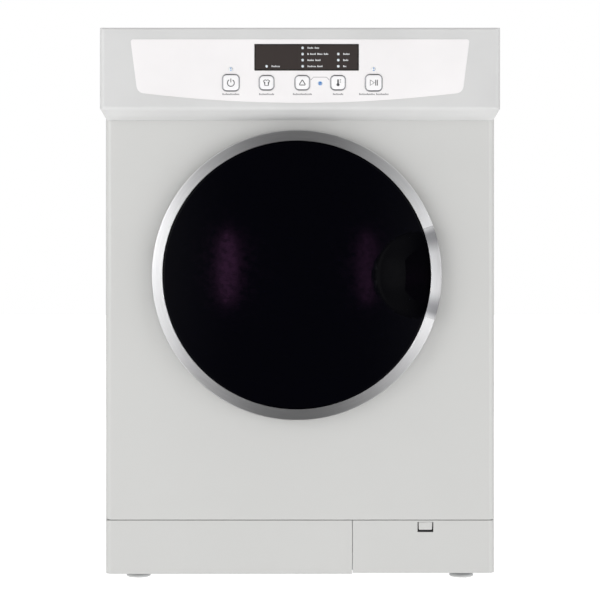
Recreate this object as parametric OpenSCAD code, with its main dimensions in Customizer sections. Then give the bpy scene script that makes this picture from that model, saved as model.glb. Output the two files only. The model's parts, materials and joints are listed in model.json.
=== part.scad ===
// Front-loading vented clothes dryer, compact 24 inch class, all sizes in millimetres.
// X runs to the right as seen by the user, Y runs to the back and Z runs up.
// The origin lies on the floor under the centre of the machine.

/* [Cabinet] */
// Width of the painted steel cabinet
cabinet_w = 600; // [596:1:606]
// Depth of the cabinet between the front and rear panels
cabinet_d = 536; // [530:1:545]
// Height from the floor to the top face
body_h = 850; // [846:1:856]
// Thickness of the painted sheet
sheet = 0.7; // [0.6:0.1:0.9]
// Radius of the two front vertical edges
edge_r = 10; // [8:1:12]
// Gap between the floor and the cabinet's lower edge
floor_gap = 15; // [14:1:16]
// Height of the kick plate's top edge
kick_top = 97.5; // [95:0.5:100]
// Where the kick plate ends and the service flap begins
flap_x = 80.7; // [75:0.1:90]

/* [Control fascia] */
// How far the fascia stands forward of the cabinet
fascia_d = 38; // [36:1:40]
// Height of the fascia's lower edge
fascia_low = 713.5; // [708:0.5:716]
// Height at which the fascia's face bends back
fascia_bend = 726.5; // [722:0.5:730]
// Overhang of the fascia at each side of the cabinet
fascia_over = 4; // [3:0.5:5]
// Side of the three middle buttons
small_button = 23; // [21:0.5:25]
// Side of the power and start buttons
large_button = 26; // [24:0.5:28]
// Distance between neighbouring buttons
button_pitch = 54.1; // [50:0.1:56]
// Travel of a button when pressed
button_travel = 1.5; // [1:0.1:2]

/* [Door] */
// Outer radius of the steel trim ring
ring_r = 221; // [218:1:222]
// Width of the trim ring's face
ring_w = 16; // [15:1:17]
// Radius of the loading mouth in the front panel
mouth_r = 170; // [168:1:171]
// Depth of the finger scoop behind the handle
scoop_depth = 15; // [14:0.5:15.5]
// Radius of the finger scoop's hollow
scoop_r = 140; // [135:1:145]

/* [Drum] */
// Outer radius of the drum
drum_r = 270; // [266:1:272]
// Sideways place of the drum and door axis
axis_x = -5; // [-6:1:-4]
// Height of the drum and door axis
axis_z = 475; // [470:1:478]
// Front and rear ends of the drum along Y
drum_y = [-213, 197];
// Number of lifters in the drum
lifters = 3; // [3, 4]

/* [Drive] */
// Place of the motor's axis across the machine
motor_x = 130; // [126:1:134]
// Height of the motor's axis
motor_z = 125; // [122:1:128]
// Outer radius of the motor's body
motor_r = 60; // [56:1:62]
// Radius of the motor pulley's groove
pulley_r = 9.6; // [9:0.1:10]
// Radius of the belt's idler pulley
idler_r = 22; // [20:1:23]
// Radius of the exhaust collar, for 4 inch hose
collar_r = 50; // [50, 50.4]

/* [Hidden] */
$fn = 64;
half_w = cabinet_w / 2;
front_y = -cabinet_d / 2;
rear_y = cabinet_d / 2;
fascia_y = front_y - fascia_d;
fascia_half = half_w + fascia_over;
front_reach = -fascia_y + 1.6;
door_gap = 3.5;
door_back = -front_y + door_gap;
dome_top = -fascia_y;
dome_r = ring_r - ring_w - 1;
dome_curve = 1480;
hinge_x = axis_x - 210;
hinge_y = front_y - 15.2;
scoop_c = [axis_x + 200, -(dome_top - 13.5 - scoop_depth + scoop_r), axis_z];
panel_low = kick_top + 1;
panel_top = body_h - 8;
skirt_low = body_h - 24;
motor = [motor_x, motor_z];
drum = [axis_x, axis_z];
idler = [motor_x - 48, motor_z - 7];
arm_pivot = [motor_x - 120, motor_z + 20];
spring_x = arm_pivot[0] - 35;
belt_y = [-16, -8];
belt_t = 3;
belt_gap = 0.4;
roller_r = 27;
roller_angle = 32;
roller_reach = drum_r + roller_r + 0.3;
rollers = [for (s = [-1, 1]) drum + roller_reach * [s * sin(roller_angle), -cos(roller_angle)]];
bulkhead_y = 203;
exhaust = [-150, 95];
gland = [235, 150];
button_row = 766;
button_mid = 3.5;
foot_spots = [for (x = [-255, 255], y = [-205, 225]) [x, y]];
flap_axis = [front_y + 8, floor_gap + 9];
cover_r = 236;
pan_t = 1;
pan_top = 16 + pan_t;
duct_r = collar_r - 1;

white_paint = [0.81, 0.81, 0.80];
light_plastic = [0.85, 0.85, 0.84];
inlay_white = [0.95, 0.95, 0.95];
zinc = [0.66, 0.68, 0.70];
steel = [0.74, 0.74, 0.75];
dark_plastic = [0.13, 0.13, 0.14];
felt = [0.55, 0.53, 0.50];
rubber = [0.09, 0.09, 0.09];
copper = [0.72, 0.43, 0.24];

// ---------- outlines ----------

function unit(v) = v / norm(v);

// The points of the arc that rounds corner b of the path a, b, c.
function corner_arc(a, b, c, r, n) =
    let (u = unit(a - b))
    let (v = unit(c - b))
    let (half = acos(u * v) / 2)
    let (centre = b + unit(u + v) * r / sin(half))
    let (p = b + u * r / tan(half) - centre)
    let (q = b + v * r / tan(half) - centre)
    let (start = atan2(p.y, p.x))
    let (turn = (atan2(q.y, q.x) - start + 540) % 360 - 180)
    [for (i = [0:n]) centre + r * [cos(start + turn * i / n), sin(start + turn * i / n)]];

// A closed path whose corners are rounded, each with its own radius.
function rounded(pts, radii, n = 6) =
    let (count = len(pts))
    [for (i = [0:count - 1]) each
        radii[i] == 0 ? [pts[i]]
        : corner_arc(pts[(i + count - 1) % count], pts[i], pts[(i + 1) % count], radii[i], n)];

function rectangle(x0, x1, y0, y1) = [[x0, y0], [x1, y0], [x1, y1], [x0, y1]];

module round_rect(w, h, r) {
    polygon(rounded(rectangle(-w / 2, w / 2, -h / 2, h / 2), [r, r, r, r], 8));
}

// A pressed sheet that runs across the front and turns back at both sides.
function wrap_plan(t, back) = rounded(
    [[-half_w, back], [-half_w, front_y], [half_w, front_y], [half_w, back],
     [half_w - t, back], [half_w - t, front_y + t], [-half_w + t, front_y + t], [-half_w + t, back]],
    [0, edge_r, edge_r, 0, 0, edge_r - t, edge_r - t, 0], 10);

// ---------- solids placed by their limits ----------

module slab(x, y, z) {
    translate([x[0], y[0], z[0]]) cube([x[1] - x[0], y[1] - y[0], z[1] - z[0]]);
}

module along_x(x) {
    translate([x[0], 0, 0]) rotate([90, 0, 90]) linear_extrude(x[1] - x[0]) children();
}

module along_y(y) {
    translate([0, y[1], 0]) rotate([90, 0, 0]) linear_extrude(y[1] - y[0]) children();
}

module along_z(z) {
    translate([0, 0, z[0]]) linear_extrude(z[1] - z[0]) children();
}

module rod(at, y, r) {
    translate([at[0], y[1], at[1]]) rotate([90, 0, 0]) cylinder(r = r, h = y[1] - y[0]);
}

module tube(at, y, r_out, r_in) {
    difference() {
        rod(at, y, r_out);
        rod(at, [y[0] - 1, y[1] + 1], r_in);
    }
}

// Turns a profile of radius against distance forward of Y = 0 about the door's axis.
module turned(from = 0, sweep = 360) {
    translate([axis_x, 0, axis_z]) rotate([90, 0, 0]) rotate([0, 0, from])
        rotate_extrude(angle = sweep, $fn = 96) children();
}

// ---------- cabinet ----------

module base_pan() color(zinc) {
    difference() {
        union() {
            slab([-297, 297], [-238, 264], [16, pan_top]);
            for (x = [-297, 297 - pan_t]) slab([x, x + pan_t], [-238, 264], [16, 42]);
            for (y = [-238, 264 - pan_t]) slab([-297, 297], [y, y + pan_t], [16, 42]);
            for (x = [108, 274]) along_x([x, x + 4])
                polygon(rounded(rectangle(flap_axis[0] - 5, -237.5, flap_axis[1] - 5, flap_axis[1] + 5),
                    [4.9, 0.2, 0.2, 4.9]));
            for (y = [1, 131]) along_y([y, y + 3])
                polygon([[motor_x - 62, 16.5], [motor_x + 62, 16.5],
                    [motor_x + 38, motor_z], [motor_x - 38, motor_z]]);
        }
        for (y = [1, 131]) rod(motor, [y - 1, y + 4], 30.2);
        for (spot = foot_spots) translate([spot.x, spot.y, 10]) cylinder(r = 5.6, h = 20);
        translate([100, flap_axis[0], flap_axis[1]]) rotate([0, 90, 0]) cylinder(r = 2.56, h = 190);
    }
    slab([arm_pivot[0] - 11, arm_pivot[0] + 11], [-8, -5.5], [16.5, arm_pivot[1] + 11]);
    for (x = [-11, 9]) slab([arm_pivot[0] + x, arm_pivot[0] + x + 2], [-8, 14], [16.5, arm_pivot[1] - 20]);
    rod(arm_pivot, [-20.5, -7], 8);
    rod(arm_pivot, [-27, -7], 4.2);
}

module side_panel(side) {
    inner = half_w - sheet;
    top = skirt_low + 9.5;
    flange_y = [rear_y - 2 * sheet - 0.1, rear_y - sheet - 0.1];
    mirror([side < 0 ? 1 : 0, 0, 0]) {
        slab([inner, half_w], [front_y + 22, rear_y], [floor_gap, top]);
        difference() {
            slab([inner - 20, inner + 0.1], flange_y, [44, skirt_low]);
            for (z = side_screw_heights) rod([side_screw_x, z], [rear_y - 5, rear_y], 2.1);
        }
        slab([inner - 12, inner + 0.1], [front_y + 30, rear_y - 20], [top - sheet, top]);
    }
}

module left_side_panel() color(white_paint) side_panel(-1);

module right_side_panel() color(white_paint) side_panel(1);

side_screw_x = 286;
side_screw_heights = [60, 240, 430, 620, 800];

function rear_screw_spots() = concat(
    [for (x = [-side_screw_x, side_screw_x], z = side_screw_heights) [x, z]],
    [for (a = [22.5:45:360]) [cos(a) * (cover_r - 9), axis_z + sin(a) * (cover_r - 9)]]);

module louvre_cuts() {
    for (side = [-1, 1], i = [0:8]) {
        translate([side * 88, 0, axis_z - 84 + 21 * i])
            along_y([rear_y - 5, rear_y + 20]) round_rect(104, 6, 2.9);
    }
}

// The rear sheet carries a raised round cover over the heater, with air louvres.
module rear_panel() color(zinc) {
    rise = 9;
    difference() {
        union() {
            slab([-half_w + 1.6, half_w - 1.6], [rear_y - sheet, rear_y], [20, skirt_low - 1]);
            rod([0, axis_z], [rear_y - 0.5, rear_y + 1.2], cover_r);
            rod([0, axis_z], [rear_y, rear_y + rise], cover_r - 20);
        }
        rod([0, axis_z], [rear_y - 3, rear_y + rise - 1], cover_r - 21);
        louvre_cuts();
        rod(exhaust, [rear_y - 5, rear_y + 5], collar_r + 1);
        rod(gland, [rear_y - 5, rear_y + 5], 11.4);
        for (spot = rear_screw_spots()) rod(spot, [rear_y - 5, rear_y + 5], 2.2);
    }
}

module worktop() color(white_paint) {
    half = half_w + 2;
    plan = rounded(rectangle(-half, half, front_y + 11, rear_y + 2), [0, 0, 4, 4]);
    t = 1;
    inner = rounded(rectangle(-half + t, half - t, front_y + 11 + t, rear_y + 2 - t), [0, 0, 3, 3]);
    difference() {
        along_z([skirt_low, body_h]) polygon(plan);
        along_z([skirt_low - 1, body_h - t]) polygon(inner);
        slab([-half_w - 0.5, half_w + 0.5], [front_y + 5, front_y + 13], [skirt_low - 1, body_h - t]);
    }
}

module front_panel() color(white_paint) {
    difference() {
        along_z([panel_low, panel_top]) polygon(wrap_plan(sheet, front_y + 21.5));
        rod(drum, [front_y - 5, front_y + 5], mouth_r);
        slab([axis_x + 182, axis_x + 200], [front_y - 5, front_y + 5], [axis_z - 11, axis_z + 11]);
        slab([-90, 90], [front_y - 5, front_y + 5], [760, 800]);
    }
}

module kick_plate() color(white_paint) {
    end_x = flap_x - 0.5;
    intersection() {
        along_z([floor_gap, kick_top]) polygon(wrap_plan(sheet, front_y + 21.5));
        slab([-half_w - 1, end_x], [front_y - 1, 0], [0, 200]);
    }
    slab([end_x - sheet, end_x], [front_y + 0.5, front_y + 18], [floor_gap, kick_top]);
    slab([-half_w + sheet, end_x], [front_y + 0.5, front_y + 12], [kick_top - sheet, kick_top]);
}

module front_bulkhead() color(zinc) {
    plate_y = [front_y + 16, front_y + 16.8];
    difference() {
        union() {
            along_y(plate_y) polygon(rounded(rectangle(-286, 286, 104, 812), [20, 20, 20, 20]));
            rod(drum, [front_y + 1.6, drum_y[0] + 1], mouth_r);
            rod(drum, [plate_y[0], drum_y[0] + 1], 190);
            for (at = rollers) {
                rod(at, [plate_y[0], -184], 5);
                rod(at, [plate_y[0], -206.5], 8);
            }
        }
        rod(drum, [front_y, drum_y[0] + 5], mouth_r - 0.9);
        tube(drum, [front_y + 1, drum_y[0] + 0.1], 189.1, mouth_r);
    }
    tube(drum, plate_y, 200, mouth_r - 0.5);
}

module moisture_sensor() color(steel) {
    low = axis_z - mouth_r + 2.2;
    for (x = [-17, 7]) {
        slab([axis_x + x, axis_x + x + 10], [front_y + 5, drum_y[0] - 5], [low, low + 2.4]);
        for (y = [front_y + 8, drum_y[0] - 12])
            slab([axis_x + x + 3, axis_x + x + 7], [y, y + 4], [low - 0.3, low + 0.5]);
    }
}

// One felt ring in front of the drum and two behind it, glued to the bulkheads.
module drum_seals() color(felt) {
    tube(drum, [drum_y[0] - 23, drum_y[0] - 3], 194.7, 190.2);
    tube(drum, [drum_y[1] + 0.4, bulkhead_y], 247, 236);
    tube(drum, [drum_y[1] + 0.4, bulkhead_y], 122, 112);
}

// ---------- drum ----------

drum_t = 0.6;

module drum_shell() color(steel) {
    tube(drum, [drum_y[0] + drum_t, drum_y[1]], drum_r, drum_r - drum_t);
    for (y = [-120, 100]) tube(drum, [y, y + 14], drum_r - 0.3, drum_r - 1.6);
}

// The front end ring closes the drum down to the neck that runs on the front seal.
module drum_front_ring() color(steel) {
    neck_r = 195.2;
    tube(drum, [drum_y[0], drum_y[0] + drum_t], drum_r, neck_r);
    tube(drum, [drum_y[0] - 24, drum_y[0] + drum_t], neck_r + 1, neck_r);
}

// The rear disc lets warm air in through its outer holes and out through the filter.
module drum_rear_disc() color(steel) {
    disc_y = [drum_y[1] - 1.5, drum_y[1] - 0.5];
    difference() {
        rod(drum, disc_y, drum_r - drum_t - 0.2);
        for (ring = [0:2], i = [0:23]) {
            a = 15 * i + 7.5 * (ring % 2);
            rod(drum + (152 + 26 * ring) * [cos(a), sin(a)], [disc_y[0] - 2, disc_y[1] + 2], 6);
        }
        for (a = [0:60:300]) rod(drum + 64 * [cos(a), sin(a)], [disc_y[0] - 2, disc_y[1] + 2], 27);
    }
    rod(drum, [disc_y[0], disc_y[1] + 6], 26);
    rod(drum, [disc_y[1], 244], 10);
}

// One lifter's outer form, or with a wall's thickness taken off, its hollow.
module lifter_form(wall, foot) {
    height = 62 - wall;
    reach = [drum_y[0] + 12 + wall, drum_y[1] - 14 - wall];
    outline = rounded([[-36 + wall, -foot], [36 - wall, -foot],
        [11 - wall / 2, -drum_r + height], [-11 + wall / 2, -drum_r + height]],
        [0, 0, 9 - wall, 9 - wall], 6);
    intersection() {
        along_y(reach) polygon(outline);
        along_x([-60, 60]) polygon([[reach[0], -drum_r - 5], [reach[1], -drum_r - 5],
            [reach[1] - 20, -drum_r + height + 1], [reach[0] + 28, -drum_r + height + 1]]);
    }
}

// Hollow lifters whose feet follow the inside of the drum.
module drum_lifters() color(light_plastic) {
    for (i = [0:lifters - 1]) {
        translate([axis_x, 0, axis_z]) rotate([0, 180 + 360 / lifters * i, 0]) difference() {
            intersection() {
                lifter_form(0, drum_r);
                rod([0, 0], drum_y, drum_r - 1.8);
            }
            lifter_form(2.5, drum_r + 2);
        }
    }
}

// A round filter cassette with a finger bar, clipped to the middle of the rear disc.
module lint_filter() color(light_plastic) {
    back = drum_y[1] - 2.4;
    tube(drum, [back - 12, back], 106, 100);
    tube(drum, [back - 12, back - 9], 112, 100);
    tube(drum, [back - 10, back - 2], 30, 26);
    for (a = [0:45:315]) translate([axis_x, 0, axis_z]) rotate([0, a, 0])
        slab([27, 102], [back - 10, back - 6], [-2, 2]);
    rod(drum, [back - 5.5, back - 4.5], 101);
    slab([axis_x - 28, axis_x + 28], [back - 26, back - 8], [axis_z - 5, axis_z + 5]);
}

module drum_roller(at) {
    color(rubber) difference() {
        rod(at, [-206, -188], roller_r);
        rod(at, [-207, -187], 5.05);
        for (y = [-207, -190]) tube(at, [y, y + 3], 21, 9);
    }
}

module left_drum_roller() drum_roller(rollers[0]);

module right_drum_roller() drum_roller(rollers[1]);

// ---------- rear bulkhead, heater and air path ----------

module duct_outline(grow) {
    hull() {
        translate(drum) circle(r = 112 + grow, $fn = 72);
        translate(motor) circle(r = 60 + grow, $fn = 48);
    }
}

module rear_bulkhead() color(zinc) {
    back = bulkhead_y + sheet;
    difference() {
        along_y([bulkhead_y, back]) polygon(rounded(
            [[-285, 165], [30, 165], [30, 50], [285, 50], [285, 810], [-285, 810]],
            [10, 10, 10, 10, 20, 20]));
        rod(drum, [bulkhead_y - 1, back + 1], 108);
        rod(motor, [bulkhead_y - 1, back + 1], 54);
        for (a = [0:30:180]) rod(drum + 180 * [cos(a), sin(a)], [bulkhead_y - 1, back + 1], 30);
    }
    for (a = [30, 150, 270]) translate([axis_x, 0, axis_z]) rotate([0, a, 0])
        slab([20, 110], [back, back + 12], [-6, 6]);
    tube(drum, [back, back + 30], 22, 15);
    difference() {
        along_y([back, 252]) duct_outline(1);
        along_y([back - 1, 251]) duct_outline(0);
    }
}

module rear_bearing() color("gray") tube(drum, [bulkhead_y + 3, bulkhead_y + 30], 15, 10.05);

heater_from = -14;
heater_sweep = 222;

module heater_housing() color(zinc) {
    back = bulkhead_y + sheet + 0.2;
    difference() {
        turned(heater_from, heater_sweep)
            polygon([[132, -back], [230, -back], [230, -(back + 44)], [132, -(back + 44)]]);
        turned(heater_from + 0.3, heater_sweep - 0.6)
            polygon([[132.8, 1 - back], [229.2, 1 - back], [229.2, -back - 43.2], [132.8, -back - 43.2]]);
    }
}

// Three heating coils on their mean circles, standing between ceramic spacers.
module heater_coil() color(copper) {
    mid = bulkhead_y + 24;
    for (r = [156, 181, 206]) {
        turned(heater_from + 6, heater_sweep - 12) translate([r, -mid]) difference() {
            circle(r = 6);
            circle(r = 4.8);
        }
    }
    for (a = [-2:40:198]) translate([axis_x, 0, axis_z]) rotate([0, -a, 0])
        slab([146, 217], [mid - 8, mid + 8], [-2, 2]);
}

// The blower's spiral and its outlet to the left, as one outline.
function scroll(inset) = concat(
    [for (i = [0:48])
        let (a = -156 - 294 * i / 48)
        let (r = 76 + 16 * i / 48 - inset)
        motor + r * [cos(a), sin(a)]],
    [[-60, motor_z - 92 + inset], [-60, motor_z - 32 - inset]]);

module blower_housing() color(zinc) {
    y = [147, bulkhead_y - 0.2];
    difference() {
        along_y(y) polygon(scroll(0));
        along_y([y[0] + 1.5, y[1] - 1.5]) polygon(scroll(1.5));
        slab([-62, -50], [y[0] + 1.5, y[1] - 1.5], [motor_z - 90.5, motor_z - 33.5]);
        rod(motor, [y[1] - 5, y[1] + 5], 54);
        rod(motor, [y[0] - 5, y[0] + 5], 9);
    }
}

module duct_transition(t) {
    hull() {
        slab([-61, -60.2], [148.5 + t, bulkhead_y - 1.7 - t], [motor_z - 90.5 + t, motor_z - 33.5 - t]);
        translate([-92, 175, exhaust[1]]) rotate([0, 90, 0]) cylinder(r = duct_r - t, h = 0.8, $fn = 48);
    }
}

module exhaust_duct() color(zinc) {
    bend = 58;
    wall = 0.8;
    flange_y = [rear_y + 0.1, rear_y + 1.1];
    difference() {
        duct_transition(0);
        duct_transition(wall);
        slab([-60.9, -50], [140, 210], [0, 200]);
        translate([-93, 175, exhaust[1]]) rotate([0, 90, 0]) cylinder(r = duct_r - wall, h = 2);
    }
    translate([-92, 175 + bend, exhaust[1]]) rotate([0, 0, 180]) rotate_extrude(angle = 90, $fn = 96)
        translate([bend, 0]) difference() {
            circle(r = duct_r);
            circle(r = duct_r - wall);
        }
    tube(exhaust, [175 + bend, flange_y[1]], duct_r, duct_r - wall);
    tube(exhaust, flange_y, collar_r + 6, duct_r - wall);
    tube(exhaust, [flange_y[0], front_reach], collar_r, duct_r - wall);
}

// ---------- drive ----------

core_y = [50, 86];

// The motor's shell, with the stator's ring inside it between two hollow ends.
module drive_motor() color(zinc) {
    y = [8, 128];
    wall = 2.5;
    difference() {
        union() {
            rod(motor, y, motor_r);
            rod(motor, [0, 136], 30);
            slab([motor_x - 22, motor_x + 22], [40, 96], [motor_z + motor_r - 6, motor_z + motor_r + 8]);
        }
        rod(motor, [-5, 140], 8.2);
        rod(motor, [y[0] + wall, y[1] - wall], 31);
        for (end = [[y[0] + wall, core_y[0]], [core_y[1], y[1] - wall]]) rod(motor, end, motor_r - wall);
        for (a = [15:30:345]) rod(motor + 47 * [cos(a), sin(a)], [4, 14], 5);
    }
}

// One turned piece: the shaft, the rotor's core and the grooved belt pulley at its front end.
module motor_shaft() color(steel) {
    rod(motor, [-24, 198], 7);
    rod(motor, core_y, 30);
    rod(motor, [belt_y[0] - 4, belt_y[1] + 4], pulley_r);
    for (y = [belt_y[0] - 4, belt_y[1] + 2]) rod(motor, [y, y + 2], pulley_r + 4.5);
}

module blower_wheel() color(dark_plastic) {
    y = [152, 194];
    difference() {
        rod(motor, [y[0], y[0] + 2], 70);
        rod(motor, [140, 200], 7);
    }
    tube(motor, [y[0], y[1]], 14, 7);
    tube(motor, [y[1] - 3, y[1]], 70, 50);
    for (a = [0:15:345]) translate([motor_x, 0, motor_z]) rotate([0, a, 0])
        translate([60, 0, 0]) rotate([0, 32, 0]) slab([-9, 9], [y[0] + 1, y[1] - 1], [-0.7, 0.7]);
}

// The belt's path runs left round the drum, under the idler and round the motor pulley.
// Each wheel is a centre and a signed radius: a wheel outside the loop counts as negative.
function belt_wheels() = [
    [drum, drum_r + belt_gap + belt_t / 2],
    [idler, -(idler_r + belt_gap + belt_t / 2)],
    [motor, pulley_r + belt_gap + belt_t / 2]];

// The angle of the left-hand normal of the run from wheel a to wheel b.
function run_normal(a, b) =
    let (gap = b[0] - a[0])
    atan2(gap.y, gap.x) + acos((b[1] - a[1]) / norm(gap));

function belt_loop(shift) =
    let (wheels = belt_wheels())
    [for (i = [0:2]) each
        let (w = wheels[i])
        let (arrive = run_normal(wheels[(i + 2) % 3], w) + 180)
        let (leave = run_normal(w, wheels[(i + 1) % 3]) + 180)
        let (turn = w[1] > 0 ? (leave - arrive + 720) % 360 : -((arrive - leave + 720) % 360))
        let (steps = max(4, ceil(abs(turn) / 4)))
        [for (k = [0:steps])
            w[0] + (w[1] + shift) * [cos(arrive + turn * k / steps), sin(arrive + turn * k / steps)]]];

module drive_belt() color(rubber) {
    along_y(belt_y) difference() {
        polygon(belt_loop(belt_t / 2));
        polygon(belt_loop(-belt_t / 2));
    }
}

module idler_arm() color(zinc) {
    y = [-24, -21];
    difference() {
        union() {
            along_y(y) hull() {
                translate(arm_pivot) circle(r = 13);
                translate(idler) circle(r = 9);
            }
            rod(idler, [y[0], -3], 4);
            slab([arm_pivot[0] - 40, arm_pivot[0]], y, [arm_pivot[1] - 5, arm_pivot[1] + 5]);
        }
        rod(arm_pivot, [-30, -15], 4.25);
        rod([spring_x, arm_pivot[1]], [-30, -15], 2);
    }
}

module idler_pulley() color(dark_plastic) {
    difference() {
        union() {
            rod(idler, [belt_y[0] - 3, belt_y[1] + 3], idler_r);
            for (y = [belt_y[0] - 3, belt_y[1] + 1.5]) rod(idler, [y, y + 1.5], idler_r + 3);
        }
        rod(idler, [-30, 0], 4.05);
    }
}

// The tension spring hangs between the arm's tail and the pan.
module idler_spring() color(steel) {
    low = pan_top + 0.2;
    high = arm_pivot[1] - 9;
    turns = 14;
    translate([spring_x, -28, 0]) {
        for (i = [0:turns - 1]) translate([0, 0, low + 4 + (high - low - 8) * i / (turns - 1)])
            rotate_extrude() translate([4.4, 0]) circle(r = 1);
        translate([0, 0, low]) cylinder(r = 3.6, h = high - low);
    }
}

// ---------- controls ----------

function fascia_profile(t) = rounded(
    [[fascia_y + t, body_h - t], [fascia_y + t, fascia_bend + 0.7 * t],
     [front_y - 0.4, fascia_low + 1.2 * t], [front_y - 0.4, body_h - t]],
    [4 - t, 6, 0, 0], 6);

function fascia_plan(t) = rounded(
    [[-fascia_half + t, front_y - 0.4], [-fascia_half + t, fascia_y + t],
     [fascia_half - t, fascia_y + t], [fascia_half - t, front_y - 0.4]],
    [0, 8 - t, 8 - t, 0], 8);

module fascia_body(t) {
    intersection() {
        along_x([-fascia_half + t, fascia_half - t]) polygon(fascia_profile(t));
        along_z([fascia_low - 5, body_h + 5]) polygon(fascia_plan(t));
    }
}

module fascia_corner_cuts(t) {
    for (side = [-1, 1]) along_y([fascia_y - 5, front_y + 40])
        polygon([[side * (fascia_half + 1), fascia_bend + 2], [side * (fascia_half - t), fascia_bend + 2],
            [side * (fascia_half - t - 7.5), fascia_low - 1], [side * (fascia_half + 1), fascia_low - 1]]);
}

// The white control strip: straight top, slanting ends and a gently bowed lower edge.
function inlay_path(t) =
    let (bow = 1946)
    let (low = 735.5 + t)
    let (steps = 12)
    let (reach = 236 - t)
    let (pts = concat([[-255 + t, 832 - t], [255 - t, 832 - t]],
        [for (i = [0:steps])
            let (x = reach * (1 - 2 * i / steps))
            [x, low + bow - sqrt(bow * bow - x * x)]]))
    let (radii = [for (i = [0:len(pts) - 1]) i < 2 ? 4 : (i == 2 || i == len(pts) - 1 ? 9 : 0)])
    rounded([for (i = [len(pts) - 1:-1:0]) pts[i]], [for (i = [len(pts) - 1:-1:0]) radii[i]], 8);

function button_x(i) = button_mid + button_pitch * (i - 2);
function button_size(i) = (i == 0 || i == 4) ? large_button : small_button;

module at_button(i) {
    translate([button_x(i), 0, button_row]) children();
}

module button_holes(y, gap) {
    for (i = [0:4]) at_button(i)
        along_y(y) round_rect(button_size(i) + 2 * gap, button_size(i) + 2 * gap, 7.5);
}

display_mid = [10, 804.6];
display_size = [158, 40];

module display_hole(y, gap) {
    translate([display_mid[0], 0, display_mid[1]])
        along_y(y) round_rect(display_size[0] + 2 * gap, display_size[1] + 2 * gap, 2.5);
}

function led_spots() = concat([[-50.5, 791]],
    [for (row = [0:3]) [4, 791 + 9.3 * row]],
    [for (row = [0:2]) [58, 791 + 9.3 * row]]);

module control_fascia() color(light_plastic) {
    wall = 2.5;
    difference() {
        union() {
            difference() {
                fascia_body(0);
                fascia_body(wall);
                fascia_corner_cuts(0);
            }
            intersection() {
                difference() {
                    fascia_body(0);
                    fascia_corner_cuts(0);
                }
                fascia_corner_cuts(wall);
            }
            for (side = [-1, 1]) mirror([side < 0 ? 1 : 0, 0, 0]) {
                slab([half_w + 0.4, fascia_half], [front_y - 1, front_y + 10.5], [fascia_bend + 6, body_h]);
                slab([half_w + 0.4, fascia_half], [front_y + 9, front_y + 21],
                    [fascia_bend + 6, skirt_low - 0.6]);
            }
            slab([-half_w + 2, half_w - 2], [front_y - 1, front_y + 10.5], [body_h - wall, body_h]);
        }
        along_y([fascia_y - 5, fascia_y + 1]) polygon(inlay_path(-0.2));
        button_holes([fascia_y - 5, fascia_y + 10], 0.6);
        display_hole([fascia_y - 5, fascia_y + 10], -3);
        for (spot = marker_spots()) rod(spot, [fascia_y - 5, fascia_y + 10], 4.2);
    }
}

// Places of the blue lights: above the two large buttons and beside the middle one.
function marker_spots() = [[button_x(0), button_row + 20.5], [button_x(4), button_row + 20.5],
    [button_mid + button_pitch / 2, button_row - 1.5]];

module fascia_inlay() color(inlay_white) {
    difference() {
        along_y([fascia_y - 0.4, fascia_y + 1]) polygon(inlay_path(0));
        button_holes([fascia_y - 5, fascia_y + 5], 0.5);
        display_hole([fascia_y - 5, fascia_y + 5], 0.1);
        for (spot = marker_spots()) rod(spot, [fascia_y - 5, fascia_y + 5], 3.4);
    }
}

module display_window() color(dark_plastic) {
    difference() {
        display_hole([fascia_y - 0.6, fascia_y + 1], 0);
        for (spot = led_spots()) rod(spot, [fascia_y - 5, fascia_y + 5], 2.1);
    }
}

module status_leds() color("white") {
    for (spot = led_spots()) rod(spot, [fascia_y - 0.8, fascia_y + 11], 2);
    for (spot = marker_spots()) rod(spot, [fascia_y - 0.7, fascia_y + 11], 3.2);
}

module control_board() color("darkgreen") {
    y = fascia_y + 14;
    slab([-140, 150], [y, y + 1.6], [745, 828]);
    for (x = [-120, -84, 96]) slab([x, x + 24], [y + 1, y + 17], [796, 822]);
    slab([-36, 36], [y + 1, y + 19], [780, 822]);
    for (x = [60, 76]) rod([x, 812], [y + 1, y + 19], 6);
    for (i = [0:4]) at_button(i) slab([-6, 6], [y - 1.6, y + 0.5], [-6, 6]);
}

module button(i) {
    size = button_size(i);
    at_button(i) {
        along_y([fascia_y - 1.6, fascia_y + 4]) round_rect(size, size, 7.2);
        along_y([fascia_y + 3, fascia_y + 10.3]) circle(r = 4);
    }
}

module power_button() color(inlay_white) button(0);

module refresh_button() color(inlay_white) button(1);

module program_button() color(inlay_white) button(2);

module temperature_button() color(inlay_white) button(3);

module start_button() color(inlay_white) button(4);

// ---------- door ----------

function dome_height(r, drop) =
    let (curve = dome_curve - drop)
    dome_top - dome_curve + sqrt(curve * curve - r * r);

module dome_outline(r_max, low, drop) {
    steps = 18;
    polygon(concat([for (i = [0:steps]) let (r = r_max * i / steps) [r, dome_height(r, drop)]],
        [[r_max, low], [0, low]]));
}

module scoop(grow) {
    translate(scoop_c) sphere(r = scoop_r + grow, $fn = 128);
}

function on_door(lo, hi) = [-hi, -lo];

handle_from = -18;
handle_to = 20;
frame_front = door_back + 14.5;

module door_cover() color(dark_plastic) {
    difference() {
        turned() difference() {
            dome_outline(dome_r, frame_front + 0.2, 0);
            dome_outline(dome_r - 3.5, frame_front - 1, 3.5);
        }
        scoop(2.55);
    }
}

module door_grip_cup() color(dark_plastic) {
    difference() {
        intersection() {
            scoop(2.5);
            union() {
                turned() dome_outline(dome_r, door_back, 0);
                rod(drum, on_door(door_back, frame_front + 1.2), ring_r - 2.4);
            }
        }
        scoop(0);
    }
}

module hinge_slots() {
    for (side = [-1, 1]) slab([axis_x - ring_r - 5, axis_x - 200], on_door(door_back, dome_top - 14.4),
        side < 0 ? [axis_z - 36.5, axis_z - 29.5] : [axis_z + 29.5, axis_z + 36.5]);
}

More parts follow.
